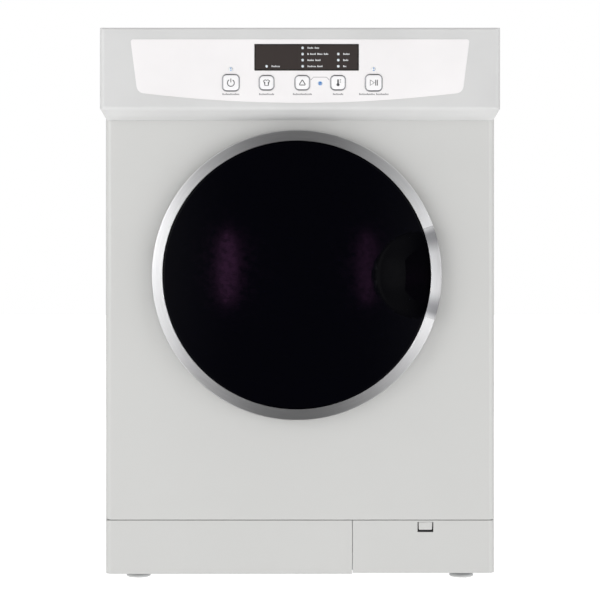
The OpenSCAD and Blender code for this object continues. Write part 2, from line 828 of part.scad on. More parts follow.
module door_trim_ring() color(steel) {
    r0 = ring_r - ring_w;
    top = dome_top - 12;
    difference() {
        turned(handle_to + 0.3, 360 - (handle_to - handle_from) - 0.6) polygon([
            [r0, frame_front + 0.2], [r0 + 1.5, frame_front + 0.2], [r0 + 1.5, top - 1.7],
            [ring_r - 1.4, top - 1.7], [ring_r - 1.4, door_back + 3.5], [ring_r, door_back + 3.5],
            [ring_r, top - 1.2], [ring_r - 1.2, top], [r0 + 0.6, top], [r0, top - 0.6]]);
        hinge_slots();
    }
}

// The grip is a ring section whose face leans back towards the glass, over the scoop.
module door_handle() color(steel) {
    r0 = ring_r - ring_w;
    top = dome_top - 12;
    turned(handle_from, handle_to - handle_from) polygon([
        [r0, frame_front + 1.5], [r0 + 2.4, frame_front + 1.5], [r0 + 2.4, top - 5.6],
        [ring_r - 2, top - 2.6], [ring_r - 2, door_back + 3.5], [ring_r, door_back + 3.5],
        [ring_r, top - 1], [ring_r - 1, top], [r0 + 0.6, top - 3.2], [r0, top - 3.8]]);
}

module door_frame() color(dark_plastic) {
    difference() {
        turned() polygon([[158, frame_front], [ring_r - 3.5, frame_front], [ring_r - 3.5, door_back],
            [173.2, door_back], [173.2, door_back + 4], [158, door_back + 4]]);
        scoop(3);
        slab([axis_x - 230, axis_x - 179], [hinge_y - 12, front_y], [axis_z - 38, axis_z + 38]);
    }
}

module door_glass() color([0.3, 0.35, 0.38, 0.5]) {
    flange = door_back + 0.3;
    turned() polygon(rounded(
        [[0, 178], [125, 178], [157, flange], [172, flange], [172, flange + 3.5], [153.8, flange + 3.5],
         [122.4, 182], [0, 182]],
        [0, 30, 3, 0, 0, 3, 27, 0], 8));
}

module door_gasket() color(rubber) {
    low = -front_y + 0.3;
    turned() polygon(rounded(
        [[mouth_r + 1, door_back], [mouth_r + 2, low], [mouth_r + 9, low], [mouth_r + 8, door_back]],
        [0, 1.4, 1.4, 0], 4));
}

module door_striker() color(steel) {
    slab([axis_x + 189, axis_x + 193], [front_y - door_gap, front_y + 11], [axis_z - 7, axis_z + 7]);
}

module door_catch() color(dark_plastic) {
    difference() {
        slab([axis_x + 180, axis_x + 202], [front_y + 1.4, front_y + 15.6], [axis_z - 18, axis_z + 18]);
        slab([axis_x + 183, axis_x + 199], [front_y, front_y + 13], [axis_z - 11, axis_z + 11]);
    }
}

module door_hinge_bracket() color(zinc) {
    reach = [20, 15];
    difference() {
        union() {
            for (side = [-1, 1]) along_z(side < 0 ? [axis_z - 35, axis_z - 31] : [axis_z + 31, axis_z + 35])
                hull() {
                    translate([hinge_x, hinge_y]) circle(r = 4.6);
                    translate([hinge_x + reach.x, hinge_y + reach.y - 3]) circle(r = 2.9);
                }
            slab([hinge_x + 14, hinge_x + 27], [front_y - 2, front_y - 0.05], [axis_z - 36, axis_z + 36]);
        }
        translate([hinge_x, hinge_y, axis_z - 60]) cylinder(r = 3.05, h = 120);
    }
}

module door_hinge_pin() color(steel) {
    translate([hinge_x, hinge_y, axis_z - 36]) cylinder(r = 3, h = 72);
    translate([hinge_x, hinge_y, axis_z + 35.2]) cylinder(r = 4, h = 1.4);
}

module door_hinge_leaf() color(zinc) {
    difference() {
        union() {
            translate([hinge_x, hinge_y, axis_z - 30.5]) cylinder(r = 4.3, h = 61);
            slab([hinge_x, hinge_x + 29], [hinge_y - 1, hinge_y + 1], [axis_z - 30, axis_z + 30]);
            slab([hinge_x + 28, hinge_x + 29.8], [hinge_y - 2, hinge_y + 9], [axis_z - 30, axis_z + 30]);
        }
        translate([hinge_x, hinge_y, axis_z - 60]) cylinder(r = 3.05, h = 120);
    }
}

// ---------- service flap, feet, gland and screws ----------

latch_mid = flap_x + 112.5;

module service_flap() color(white_paint) {
    low = floor_gap + 1.5;
    difference() {
        intersection() {
            along_z([low, kick_top]) polygon(wrap_plan(2.5, front_y + 12));
            slab([flap_x + 0.5, half_w + 1], [front_y - 1, 0], [0, 200]);
        }
        slab([latch_mid - 12.2, latch_mid + 12.2], [front_y - 5, front_y + 5], [79.5, 95]);
    }
    for (x = [99, 279])
        slab([x, x + 6], [front_y + 1, flap_axis[0] + 4], [flap_axis[1] - 4, flap_axis[1] + 4]);
    for (x = [99, 270]) translate([x, flap_axis[0], flap_axis[1]])
        rotate([0, 90, 0]) cylinder(r = 2.5, h = 15);
}

module flap_latch() color(light_plastic) {
    along_y([front_y - 0.5, front_y + 2.2])
        polygon(rounded(rectangle(latch_mid - 11.6, latch_mid + 11.6, 83, 94.4), [4, 4, 0.5, 0.5]));
    slab([latch_mid - 18, latch_mid + 18], [front_y + 2.8, front_y + 5], [76, 96.8]);
    slab([latch_mid - 6, latch_mid + 6], [front_y + 2, front_y + 3], [85, 92]);
}

module levelling_foot(i) {
    spot = foot_spots[i];
    translate([spot.x, spot.y, 0]) {
        color(rubber) cylinder(r = 19, h = 7);
        color(zinc) {
            translate([0, 0, 7]) cylinder(r = 10, h = 6, $fn = 6);
            translate([0, 0, 6]) cylinder(r = 5, h = 46);
        }
    }
}

module left_front_foot() levelling_foot(0);

module left_rear_foot() levelling_foot(1);

module right_front_foot() levelling_foot(2);

module right_rear_foot() levelling_foot(3);

module cord_gland() color(dark_plastic) {
    difference() {
        union() {
            rod(gland, [rear_y - 12, rear_y + 2], 11);
            rod(gland, [rear_y + 0.2, rear_y + 4], 16);
            translate([gland[0], rear_y + 16, gland[1]]) rotate([90, 0, 0])
                cylinder(r = 14, h = 13, $fn = 6);
            rod(gland, [rear_y + 15, rear_y + 19], 9);
        }
        rod(gland, [rear_y - 6, rear_y + 25], 4.5);
    }
}

module panel_screws() color(steel) {
    for (spot = rear_screw_spots()) {
        raised = norm(spot - [0, axis_z]) < cover_r + 1;
        seat = rear_y + (raised ? 1.3 : 0.1);
        rod(spot, [seat, seat + 2.2], 4.2);
        rod(spot, [rear_y - 4, seat + 1], 1.9);
    }
}

base_pan();
left_side_panel();
right_side_panel();
rear_panel();
worktop();
front_panel();
kick_plate();
front_bulkhead();
drum_seals();
rear_bulkhead();
rear_bearing();
heater_housing();
heater_coil();
blower_housing();
exhaust_duct();
drive_motor();
drive_belt();
control_fascia();
fascia_inlay();
display_window();
status_leds();
control_board();
door_catch();
door_hinge_bracket();
door_hinge_pin();
moisture_sensor();
cord_gland();
panel_screws();
door_trim_ring();
door_handle();
door_frame();
door_cover();
door_grip_cup();
door_glass();
door_gasket();
door_striker();
door_hinge_leaf();
drum_shell();
drum_front_ring();
drum_rear_disc();
drum_lifters();
lint_filter();
left_drum_roller();
right_drum_roller();
motor_shaft();
blower_wheel();
idler_arm();
idler_pulley();
idler_spring();
power_button();
refresh_button();
program_button();
temperature_button();
start_button();
service_flap();
flap_latch();
left_front_foot();
left_rear_foot();
right_front_foot();
right_rear_foot();
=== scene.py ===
"""The looks of a compact front-loading clothes dryer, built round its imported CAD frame."""
import json
from math import atan2, cos, hypot, pi, radians, sin, sqrt, tan

import bpy
from mathutils import Matrix, Vector


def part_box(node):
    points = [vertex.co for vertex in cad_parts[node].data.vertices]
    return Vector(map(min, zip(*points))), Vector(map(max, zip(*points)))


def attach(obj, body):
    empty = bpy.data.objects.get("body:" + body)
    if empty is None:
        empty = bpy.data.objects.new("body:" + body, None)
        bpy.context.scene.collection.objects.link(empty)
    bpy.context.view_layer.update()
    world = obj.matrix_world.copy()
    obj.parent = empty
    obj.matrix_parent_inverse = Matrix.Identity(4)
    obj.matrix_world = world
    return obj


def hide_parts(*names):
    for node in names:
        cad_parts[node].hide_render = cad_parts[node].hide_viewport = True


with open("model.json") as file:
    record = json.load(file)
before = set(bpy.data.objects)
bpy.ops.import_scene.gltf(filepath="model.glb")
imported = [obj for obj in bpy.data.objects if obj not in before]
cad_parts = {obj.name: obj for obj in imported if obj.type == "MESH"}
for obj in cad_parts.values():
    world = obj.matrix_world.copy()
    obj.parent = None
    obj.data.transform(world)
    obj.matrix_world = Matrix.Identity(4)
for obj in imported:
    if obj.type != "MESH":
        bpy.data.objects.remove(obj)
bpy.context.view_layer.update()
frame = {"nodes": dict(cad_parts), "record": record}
nodes = frame["nodes"]
MM = 0.001
scene = bpy.context.scene

# ---------- places, all from the CAD frame ----------


def middle(node):
    low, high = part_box(node)
    return (low + high) / 2


CAB_LOW, CAB_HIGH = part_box("front_panel")
FRONT_Y = CAB_LOW.y
drum_mid = middle("drum_shell")
AXIS = (drum_mid.x, drum_mid.z)
RING_LOW, RING_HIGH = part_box("door_trim_ring")
RING_R = (RING_HIGH.z - RING_LOW.z) / 2
RING_Y = RING_LOW.y
DOME_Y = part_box("door_cover")[0].y
INLAY_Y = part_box("fascia_inlay")[0].y
BUTTONS = ["power_button", "refresh_button", "program_button", "temperature_button", "start_button"]

# ---------- small geometry tools ----------


def arc(cx, cz, r, start, end, steps):
    return [(cx + r * cos(radians(start + (end - start) * i / steps)),
             cz + r * sin(radians(start + (end - start) * i / steps))) for i in range(steps + 1)]


def rounded(points, radii, steps=6):
    """The closed path through points, with each corner rounded by its own radius."""
    path = []
    for i, corner in enumerate(points):
        if radii[i] == 0:
            path.append(tuple(corner))
            continue
        b = Vector(corner)
        u = (Vector(points[i - 1]) - b).normalized()
        v = (Vector(points[(i + 1) % len(points)]) - b).normalized()
        half = u.angle(v) / 2
        centre = b + (u + v).normalized() * radii[i] / sin(half)
        first = b + u * radii[i] / tan(half) - centre
        last = b + v * radii[i] / tan(half) - centre
        start = atan2(first.y, first.x)
        turn = (atan2(last.y, last.x) - start + 3 * pi) % (2 * pi) - pi
        for k in range(steps + 1):
            a = start + turn * k / steps
            path.append((centre.x + radii[i] * cos(a), centre.y + radii[i] * sin(a)))
    return path


def corners(x0, z0, x1, z1):
    return [(x0, z0), (x1, z0), (x1, z1), (x0, z1)]


def box_path(w, h, r, steps=8, at=(0, 0)):
    x, z = at
    return rounded(corners(x - w / 2, z - h / 2, x + w / 2, z + h / 2), [r] * 4, steps)


def add_mesh(name, verts, faces, mat, body, sharp=38):
    mesh = bpy.data.meshes.new(name)
    mesh.from_pydata(verts, [], faces)
    mesh.validate()
    mesh.shade_smooth()
    mesh.set_sharp_from_angle(angle=radians(sharp))
    mesh.materials.append(mat)
    obj = bpy.data.objects.new(name, mesh)
    scene.collection.objects.link(obj)
    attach(obj, body)
    return obj


def loft(rings, cap_start=True, cap_end=True, closed_rings=True, looped=False):
    """Vertices and faces of a skin through rings of equal length."""
    n = len(rings[0])
    verts = [point for ring in rings for point in ring]
    faces = []
    pairs = len(rings) if looped else len(rings) - 1
    for i in range(pairs):
        j = (i + 1) % len(rings)
        for k in range(n if closed_rings else n - 1):
            m = (k + 1) % n
            faces.append((i * n + k, i * n + m, j * n + m, j * n + k))
    if cap_start:
        faces.append(tuple(range(n - 1, -1, -1)))
    if cap_end:
        faces.append(tuple((len(rings) - 1) * n + k for k in range(n)))
    return verts, faces


def joined(skins):
    """Several (vertices, faces) skins as one."""
    verts, faces = [], []
    for more, loops in skins:
        offset = len(verts)
        verts += more
        faces += [tuple(n + offset for n in face) for face in loops]
    return verts, faces


def baked(obj):
    """A new mesh of obj as its modifiers, or its curve, make it."""
    bpy.context.view_layer.update()
    return bpy.data.meshes.new_from_object(obj.evaluated_get(bpy.context.evaluated_depsgraph_get()))


def lathe(name, profile, mat, body, centre=AXIS, steps=192, start=0, sweep=360, closed=True, sharp=38):
    """Turns a profile of (radius, y) about the Y axis through centre."""
    whole = sweep >= 360
    count = steps if whole else steps + 1
    rings = []
    for i in range(count):
        a = radians(start + sweep * i / steps)
        rings.append([(centre[0] + r * cos(a), y, centre[1] + r * sin(a)) for r, y in profile])
    verts, faces = loft(rings, not whole, not whole, closed, whole)
    return add_mesh(name, verts, faces, mat, body, sharp)


def notch(obj, boxes, sharp=38):
    """Cuts boxes, each given by two opposite corners, out of a closed mesh."""
    cutters = []
    for (x0, y0, z0), (x1, y1, z1) in boxes:
        verts, faces = loft([[(x, y, z) for x, y in corners(x0, y0, x1, y1)] for z in (z0, z1)])
        mesh = bpy.data.meshes.new("notch_cutter")
        mesh.from_pydata(verts, [], faces)
        cutter = bpy.data.objects.new("notch_cutter", mesh)
        scene.collection.objects.link(cutter)
        cut = obj.modifiers.new("notch", "BOOLEAN")
        cut.operation = "DIFFERENCE"
        cut.solver = "EXACT"
        cut.object = cutter
        cutters.append(cutter)
    mesh = baked(obj)
    obj.modifiers.clear()
    obj.data = mesh
    mesh.set_sharp_from_angle(angle=radians(sharp))
    for cutter in cutters:
        bpy.data.objects.remove(cutter)


def plate(name, loops, y_front, depth, edge, mat, body, steps=3):
    """A flat plate facing forward, cut to loops in X and Z, with its edges rounded."""
    curve = bpy.data.curves.new(name, "CURVE")
    curve.dimensions = "2D"
    curve.fill_mode = "BOTH"
    curve.extrude = depth / 2 - edge
    curve.bevel_depth = edge
    curve.bevel_resolution = steps
    curve.offset = -edge
    for loop in loops:
        spline = curve.splines.new("POLY")
        spline.points.add(len(loop) - 1)
        for point, (x, z) in zip(spline.points, loop):
            point.co = (x, z, 0, 1)
        spline.use_cyclic_u = True
    source = bpy.data.objects.new(name + "_outline", curve)
    scene.collection.objects.link(source)
    mesh = baked(source)
    bpy.data.objects.remove(source)
    mesh.transform(Matrix.Translation((0, y_front + depth / 2, 0)) @ Matrix.Rotation(pi / 2, 4, "X"))
    mesh.materials.clear()
    mesh.materials.append(mat)
    mesh.shade_smooth()
    mesh.set_sharp_from_angle(angle=radians(38))
    obj = bpy.data.objects.new(name, mesh)
    scene.collection.objects.link(obj)
    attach(obj, body)
    return obj


def ribbon(points, width, closed=False):
    """The outline, or the two outlines, of a line of that width."""
    n = len(points)
    sides = ([], [])
    for i, (x, z) in enumerate(points):
        before = points[(i - 1) % n] if closed or i else points[0]
        after = points[(i + 1) % n] if closed or i < n - 1 else points[-1]
        dx, dz = after[0] - before[0], after[1] - before[1]
        length = hypot(dx, dz) or 1
        for side, path in zip((0.5, -0.5), sides):
            path.append((x - dz / length * width * side, z + dx / length * width * side))
    if closed:
        return [sides[0], sides[1]]
    return [sides[0] + sides[1][::-1]]


def shifted(loops, x, z, scale=1.0):
    return [[(x + px * scale, z + pz * scale) for px, pz in loop] for loop in loops]


# ---------- materials ----------


class Mat:
    """A Principled material with its node tree at hand."""

    def __init__(self, name, color, rough, metal=0.0, **constants):
        self.mat = bpy.data.materials.new(name)
        self.mat.use_nodes = True
        self.tree = self.mat.node_tree
        self.shader = self.tree.nodes["Principled BSDF"]
        self.set("Base Color", (*color, 1.0))
        self.set("Roughness", rough)
        self.set("Metallic", metal)
        for key, value in constants.items():
            self.set(key.replace("_", " "), value)
        self.color = color
        self.rough = rough
        self.height = None

    def set(self, socket, value):
        self.shader.inputs[socket].default_value = value

    def node(self, kind, **values):
        made = self.tree.nodes.new(kind)
        for key, value in values.items():
            setattr(made, key, value)
        return made

    def link(self, a, b):
        self.tree.links.new(a, b)

    def coords(self, stretch=(1, 1, 1)):
        place = self.node("ShaderNodeTexCoord")
        mapping = self.node("ShaderNodeMapping")
        mapping.inputs["Scale"].default_value = stretch
        self.link(place.outputs["Object"], mapping.inputs["Vector"])
        return mapping.outputs["Vector"]

    def noise(self, scale, detail=3.0, vector=None, stretch=(1, 1, 1)):
        made = self.node("ShaderNodeTexNoise")
        made.inputs["Scale"].default_value = scale
        made.inputs["Detail"].default_value = detail
        self.link(vector or self.coords(stretch), made.inputs["Vector"])
        return made.outputs["Fac"]

    def ramp(self, fac, low, high, start=0.3, end=0.7):
        made = self.node("ShaderNodeMapRange")
        made.inputs["From Min"].default_value = start
        made.inputs["From Max"].default_value = end
        made.inputs["To Min"].default_value = low
        made.inputs["To Max"].default_value = high
        self.link(fac, made.inputs["Value"])
        return made.outputs["Result"]

    def band(self, fac, start, end, low, high):
        """A smooth step from low to high, as fac goes from start to end."""
        result = self.ramp(fac, low, high, start, end)
        result.node.interpolation_type = "SMOOTHSTEP"
        return result

    def tint(self, fac, amount):
        """Varies the base colour by a factor either way, following fac."""
        mix = self.node("ShaderNodeMix", data_type="RGBA")
        mix.inputs["A"].default_value = (*[c * (1 - amount) for c in self.color], 1)
        mix.inputs["B"].default_value = (*[min(1, c * (1 + amount)) for c in self.color], 1)
        self.link(self.ramp(fac, 0, 1), mix.inputs["Factor"])
        self.link(mix.outputs["Result"], self.shader.inputs["Base Color"])
        return self

    def gloss(self, fac, spread):
        """Varies the roughness by spread either way, following fac."""
        self.link(self.ramp(fac, self.rough - spread, self.rough + spread), self.shader.inputs["Roughness"])
        return self

    def bump(self, fac, depth, strength=1.0):
        made = self.node("ShaderNodeBump")
        made.inputs["Distance"].default_value = depth
        made.inputs["Strength"].default_value = strength
        self.link(fac, made.inputs["Height"])
        if self.height:
            self.link(self.height, made.inputs["Normal"])
        self.height = made.outputs["Normal"]
        self.link(self.height, self.shader.inputs["Normal"])
        return self


def painted(name, color, rough=0.34):
    made = Mat(name, color, rough, Coat_Weight=0.25, Coat_Roughness=0.12)
    made.tint(made.noise(3.0, 2), 0.012)
    made.gloss(made.noise(40.0), 0.03)
    return made.bump(made.noise(650.0, 2), 0.00003, 0.5)


def moulded(name, color, rough=0.45, grain=1400.0, depth=0.00002, **constants):
    made = Mat(name, color, rough, **constants)
    made.tint(made.noise(9.0, 3), 0.03)
    made.gloss(made.noise(120.0), 0.05)
    return made.bump(made.noise(grain, 3), depth, 0.7)


def zinc(name, color, rough=0.42):
    """Galvanised sheet, with its pattern of crystals."""
    made = Mat(name, color, rough, 0.75)
    cells = made.node("ShaderNodeTexVoronoi")
    cells.inputs["Scale"].default_value = 130.0
    made.link(made.coords(), cells.inputs["Vector"])
    shade = made.node("ShaderNodeSeparateColor")
    made.link(cells.outputs["Color"], shade.inputs["Color"])
    made.tint(shade.outputs["Red"], 0.09)
    made.gloss(shade.outputs["Green"], 0.08)
    return made.bump(made.noise(500.0), 0.00002, 0.4)


def about_axis(made, centre):
    """Radius and angle about the Y axis through centre, and the vector pointing outwards."""
    place = made.node("ShaderNodeTexCoord")
    shift = made.node("ShaderNodeVectorMath", operation="SUBTRACT")
    shift.inputs[1].default_value = (centre[0], 0, centre[1])
    made.link(place.outputs["Object"], shift.inputs[0])
    flat = made.node("ShaderNodeVectorMath", operation="MULTIPLY")
    flat.inputs[1].default_value = (1, 0, 1)
    made.link(shift.outputs[0], flat.inputs[0])
    length = made.node("ShaderNodeVectorMath", operation="LENGTH")
    made.link(flat.outputs[0], length.inputs[0])
    split = made.node("ShaderNodeSeparateXYZ")
    made.link(flat.outputs[0], split.inputs[0])
    angle = made.node("ShaderNodeMath", operation="ARCTAN2")
    made.link(split.outputs["Z"], angle.inputs[0])
    made.link(split.outputs["X"], angle.inputs[1])
    outward = made.node("ShaderNodeVectorMath", operation="NORMALIZE")
    made.link(flat.outputs[0], outward.inputs[0])
    return length.outputs["Value"], angle.outputs["Value"], outward.outputs[0]


def brushed_round(name, color, rough, centre, strength=1.0, anisotropy=0.85):
    """Steel brushed in circles about centre."""
    made = Mat(name, color, rough, 1.0, Anisotropic=anisotropy)
    radius, angle, outward = about_axis(made, centre)
    made.link(outward, made.shader.inputs["Tangent"])
    place = made.node("ShaderNodeCombineXYZ")
    across = made.node("ShaderNodeMath", operation="MULTIPLY")
    across.inputs[1].default_value = 2600.0
    made.link(radius, across.inputs[0])
    along = made.node("ShaderNodeMath", operation="MULTIPLY")
    along.inputs[1].default_value = 5.0
    made.link(angle, along.inputs[0])
    made.link(across.outputs[0], place.inputs["X"])
    made.link(along.outputs[0], place.inputs["Y"])
    streaks = made.noise(1.0, 4, place.outputs[0])
    made.tint(streaks, 0.07 * strength)
    made.gloss(streaks, 0.05 * strength)
    return made.bump(streaks, 0.00001, 0.35 * strength)


def brushed_along(name, color, rough, stretch=(40, 2600, 2600), metal=1.0):
    made = Mat(name, color, rough, metal)
    streaks = made.noise(1.0, 3, stretch=stretch)
    made.tint(streaks, 0.06)
    made.gloss(streaks, 0.05)
    return made.bump(streaks, 0.00001, 0.3)


def felt_wool(name, color):
    made = Mat(name, color, 0.95, Sheen_Weight=0.35)
    made.tint(made.noise(260.0, 5), 0.22)
    return made.bump(made.noise(1500.0, 5), 0.0002, 0.9)


def make_materials():
    mats = {
        "cabinet_paint": painted("cabinet_enamel", (0.605, 0.605, 0.593)),
        "galvanised": zinc("galvanised_sheet", (0.50, 0.52, 0.54)),
        "trim_steel": brushed_round("ring_brushed_steel", (0.72, 0.72, 0.73), 0.42, AXIS, 1.0, 0.9),
        "machine_steel": brushed_along("bright_steel", (0.56, 0.57, 0.58), 0.30),
        "drum_steel": brushed_round("drum_satin_steel", (0.62, 0.63, 0.64), 0.33, AXIS, 0.6, 0.5),
        "fascia_plastic": moulded("fascia_grey_plastic", (0.635, 0.635, 0.633), 0.38, Coat_Weight=0.15),
        "inlay_plastic": moulded("inlay_white_gloss", (0.865, 0.845, 0.85), 0.22, 900.0, 0.000006),
        "key_plastic": moulded("key_white_gloss", (0.90, 0.89, 0.90), 0.24, 900.0, 0.000006),
        "window_plastic": moulded("smoked_window", (0.042, 0.034, 0.032), 0.16, 900.0, 0.000004),
        "light_guide": moulded("light_guide", (0.85, 0.90, 0.92), 0.3),
        "door_dark": moulded("door_piano_black", (0.0004, 0.0004, 0.0016), 0.11, 300.0, 0.000002,
                             Specular_IOR_Level=0.08),
        "door_glass": Mat("tempered_glass", (0.80, 0.86, 0.88), 0.02, Transmission_Weight=0.92, IOR=1.45),
        "black_plastic": moulded("moulded_black", (0.018, 0.018, 0.02), 0.5, 1800.0, 0.00004),
        "seal_rubber": moulded("black_rubber", (0.016, 0.016, 0.017), 0.72, 1100.0, 0.00005),
        "felt": felt_wool("wool_felt", (0.33, 0.30, 0.26)),
        "lifter_plastic": moulded("lifter_grey_plastic", (0.46, 0.47, 0.48), 0.42),
        "motor_housing": brushed_along("motor_shell_steel", (0.34, 0.35, 0.36), 0.38, (900, 60, 900), 0.85),
        "heater_wire": brushed_along("resistance_wire", (0.36, 0.27, 0.22), 0.5, (500, 500, 500), 0.8),
        "circuit_board": moulded("glass_epoxy_green", (0.02, 0.10, 0.045), 0.4, 700.0, 0.00003),
    }
    glass = mats["door_glass"]
    glass.gloss(glass.noise(25.0), 0.01)
    return mats


MATS = make_materials()


def mat(slot):
    return MATS[slot].mat


chrome = Mat("bezel_chrome", (0.55, 0.56, 0.58), 0.16, 1.0)
chrome.gloss(chrome.noise(90.0), 0.04)
icon_grey = moulded("icon_print_grey", (0.05, 0.05, 0.055), 0.5)
print_white = moulded("print_white", (0.75, 0.76, 0.78), 0.5)
label_grey = moulded("label_print_grey", (0.16, 0.16, 0.17), 0.5)
dial_blue = moulded("blue_light_lens", (0.05, 0.36, 0.72), 0.3, Emission_Color=(0.10, 0.50, 1.0, 1),
                    Emission_Strength=0.25)
lamp_white = moulded("white_light_lens", (0.80, 0.86, 0.90), 0.3, Emission_Color=(0.8, 0.9, 1.0, 1),
                     Emission_Strength=0.55)
scoop_black = moulded("scoop_satin_black", (0.0005, 0.0005, 0.0012), 0.24, 900.0, 0.000006,
                      Specular_IOR_Level=0.035)
foot_rubber = moulded("foot_grey_rubber", (0.72, 0.72, 0.71), 0.7, 1100.0, 0.00005)

# ---------- CAD nodes that stay ----------

# Width in millimetres of the rounded edges on each CAD node that shows any.
BEVELS = {
    "control_fascia": 0.6, "front_panel": 0.3, "kick_plate": 0.3, "door_frame": 0.8, "drum_shell": 0.2,
    "drum_front_ring": 0.2, "drum_lifters": 1.0, "service_flap": 0.6, "flap_latch": 0.5, "base_pan": 0.3,
    "cord_gland": 0.7, "panel_screws": 0.5, "drive_motor": 1.0, "exhaust_duct": 0.3, "control_board": 0.2,
    "lint_filter": 0.6, "door_hinge_bracket": 0.5, "door_hinge_leaf": 0.5, "front_bulkhead": 0.25,
    "idler_pulley": 0.5, "left_drum_roller": 0.8, "right_drum_roller": 0.8,
    "door_catch": 0.5, "door_striker": 0.6, "moisture_sensor": 0.4, "rear_bulkhead": 0.3,
}


def finish_cad_nodes():
    """Gives every CAD node its material and, where it shows, rounded edges."""
    for entry in frame["record"]["subparts"]:
        name = entry["node"]
        obj = nodes[name]
        obj.data.materials.clear()
        obj.data.materials.append(mat(entry["material_slot"]))
        obj.data.shade_smooth()
        weld = obj.modifiers.new("join", "WELD")
        weld.merge_threshold = 0.00001
        if name in BEVELS:
            edge = obj.modifiers.new("soft_edges", "BEVEL")
            edge.width = BEVELS[name] * MM
            edge.segments = 2
            edge.limit_method = "ANGLE"
            edge.angle_limit = radians(40)
            edge.harden_normals = True
        weight = obj.modifiers.new("even_shading", "WEIGHTED_NORMAL")
        weight.keep_sharp = True


# ---------- door ----------

DOME_CURVE = 1480 * MM
SCOOP_R = 140 * MM
SCOOP_DEPTH = 15 * MM
SCOOP_AT = 200 * MM
SCOOP_BACK = 13.5 * MM
CREASE = 2.2 * MM
LIP = 1.2 * MM
RING_W = 16 * MM
RING_DEPTH = 19 * MM
DOME_R = RING_R - RING_W - 1 * MM
FLOOR_Y = RING_Y + 7 * MM
GRIP_START, GRIP_END = -18, 20
GRIP_SWEEP = GRIP_END - GRIP_START


def smooth_max(a, b, soft):
    """The greater of two numbers, blended over a band so that the crease is rounded."""
    h = max(0.0, min(1.0, 0.5 + 0.5 * (a - b) / soft))
    return b + (a - b) * h + soft * h * (1 - h)


def dome_y(r):
    """Depth of the dome at radius r."""
    return DOME_Y + DOME_CURVE - sqrt(DOME_CURVE ** 2 - r * r)


def scoop_y(x, z):
    """Depth of the finger scoop at a point measured from the door's axis."""
    flat = SCOOP_R ** 2 - (x - SCOOP_AT) ** 2 - z * z
    if flat <= 0:
        return -10.0
    return DOME_Y + SCOOP_BACK + SCOOP_DEPTH - SCOOP_R + sqrt(flat)


def build_door_cover():
    """A domed skin with the finger scoop pressed into it, then its wall and its back."""
    coarse, fine, inner = 25, 64, DOME_R * 0.625
    radii = [inner * i / coarse for i in range(1, coarse + 1)]
    radii += [inner + (DOME_R - inner) * i / fine for i in range(1, fine + 1)]
    radii += [DOME_R + step * MM for step in (0.25, 0.5, 2.5, 5, 7.5, 10, 12.5, 14)]
    segments = 360
    edge = DOME_R - LIP
    rings = []
    for r in radii:
        ring = []
        for i in range(segments):
            a = 2 * pi * i / segments
            x, z = r * cos(a), r * sin(a)
            base = dome_y(min(r, edge))
            if r > edge:
                base += (1 - sqrt(max(0.0, 1 - min(1.0, (r - edge) / LIP) ** 2))) * LIP
            if r > DOME_R + 0.3 * MM:
                base = FLOOR_Y
            ring.append((AXIS[0] + x, smooth_max(scoop_y(x, z), base, CREASE), AXIS[1] + z))
        rings.append(ring)
    low = FLOOR_Y + 1.0 * MM
    skin = 1.6 * MM
    hollow_ring = 50
    back = [[(x, max(y, low) + skin, z) for x, y, z in ring] for ring in (rings[-1], rings[hollow_ring])]
    verts, faces = loft(rings + back, False, True)
    verts.append((AXIS[0], DOME_Y, AXIS[1]))
    tip = len(verts) - 1
    faces += [(tip, (k + 1) % segments, k) for k in range(segments)]
    obj = add_mesh("door_cover_dome", verts, faces, mat("door_dark"), "door", 60)
    obj.data.materials.append(scoop_black.mat)
    for face in obj.data.polygons:
        x, y, z = face.center
        x, z = x - AXIS[0], z - AXIS[1]
        if scoop_y(x, z) > dome_y(min(hypot(x, z), edge)) - CREASE:
            face.material_index = 1
    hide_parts("door_cover", "door_grip_cup")


def grip_steel():
    """The handle's steel: a darker copy of the ring's steel as painted shade, with more painted shade at its
    two ends, where the grip dips below the ring.
    """
    # Painted shade: a base colour darker than the ring's steel, so the whole grip reads as shaded.
    made = brushed_round("handle_steel_painted_shade", (0.52, 0.52, 0.53), 0.40, AXIS, 1.0, 0.9)
    angle = about_axis(made, AXIS)[1]
    shift = made.node("ShaderNodeMath", operation="SUBTRACT")
    shift.inputs[1].default_value = radians((GRIP_START + GRIP_END) / 2)
    made.link(angle, shift.inputs[0])
    reach = made.node("ShaderNodeMath", operation="ABSOLUTE")
    made.link(shift.outputs[0], reach.inputs[0])
    dip = made.band(reach.outputs[0], radians(7), radians(14.5), 0.0, 1.0)
    lift = made.band(reach.outputs[0], radians(16), radians(19), 1.0, 0.0)
    painted_end_shade = made.node("ShaderNodeMath", operation="MULTIPLY")
    made.link(dip, painted_end_shade.inputs[0])
    made.link(lift, painted_end_shade.inputs[1])
    blend = made.node("ShaderNodeMix", data_type="RGBA", blend_type="MULTIPLY")
    base = made.shader.inputs["Base Color"]
    source = base.links[0].from_socket
    made.link(painted_end_shade.outputs[0], blend.inputs["Factor"])
    made.link(source, blend.inputs["A"])
    # Painted shade: the base colour is multiplied by this grey at the grip's two ends.
    blend.inputs["B"].default_value = (0.45, 0.45, 0.46, 1)
    made.link(blend.outputs["Result"], base)
    return made


def in_mm(points, radii, steps, base=(0, 0)):
    """A rounded outline from points and radii in millimetres, measured from base."""
    return rounded([(base[0] + u * MM, base[1] + v * MM) for u, v in points], [r * MM for r in radii], steps)


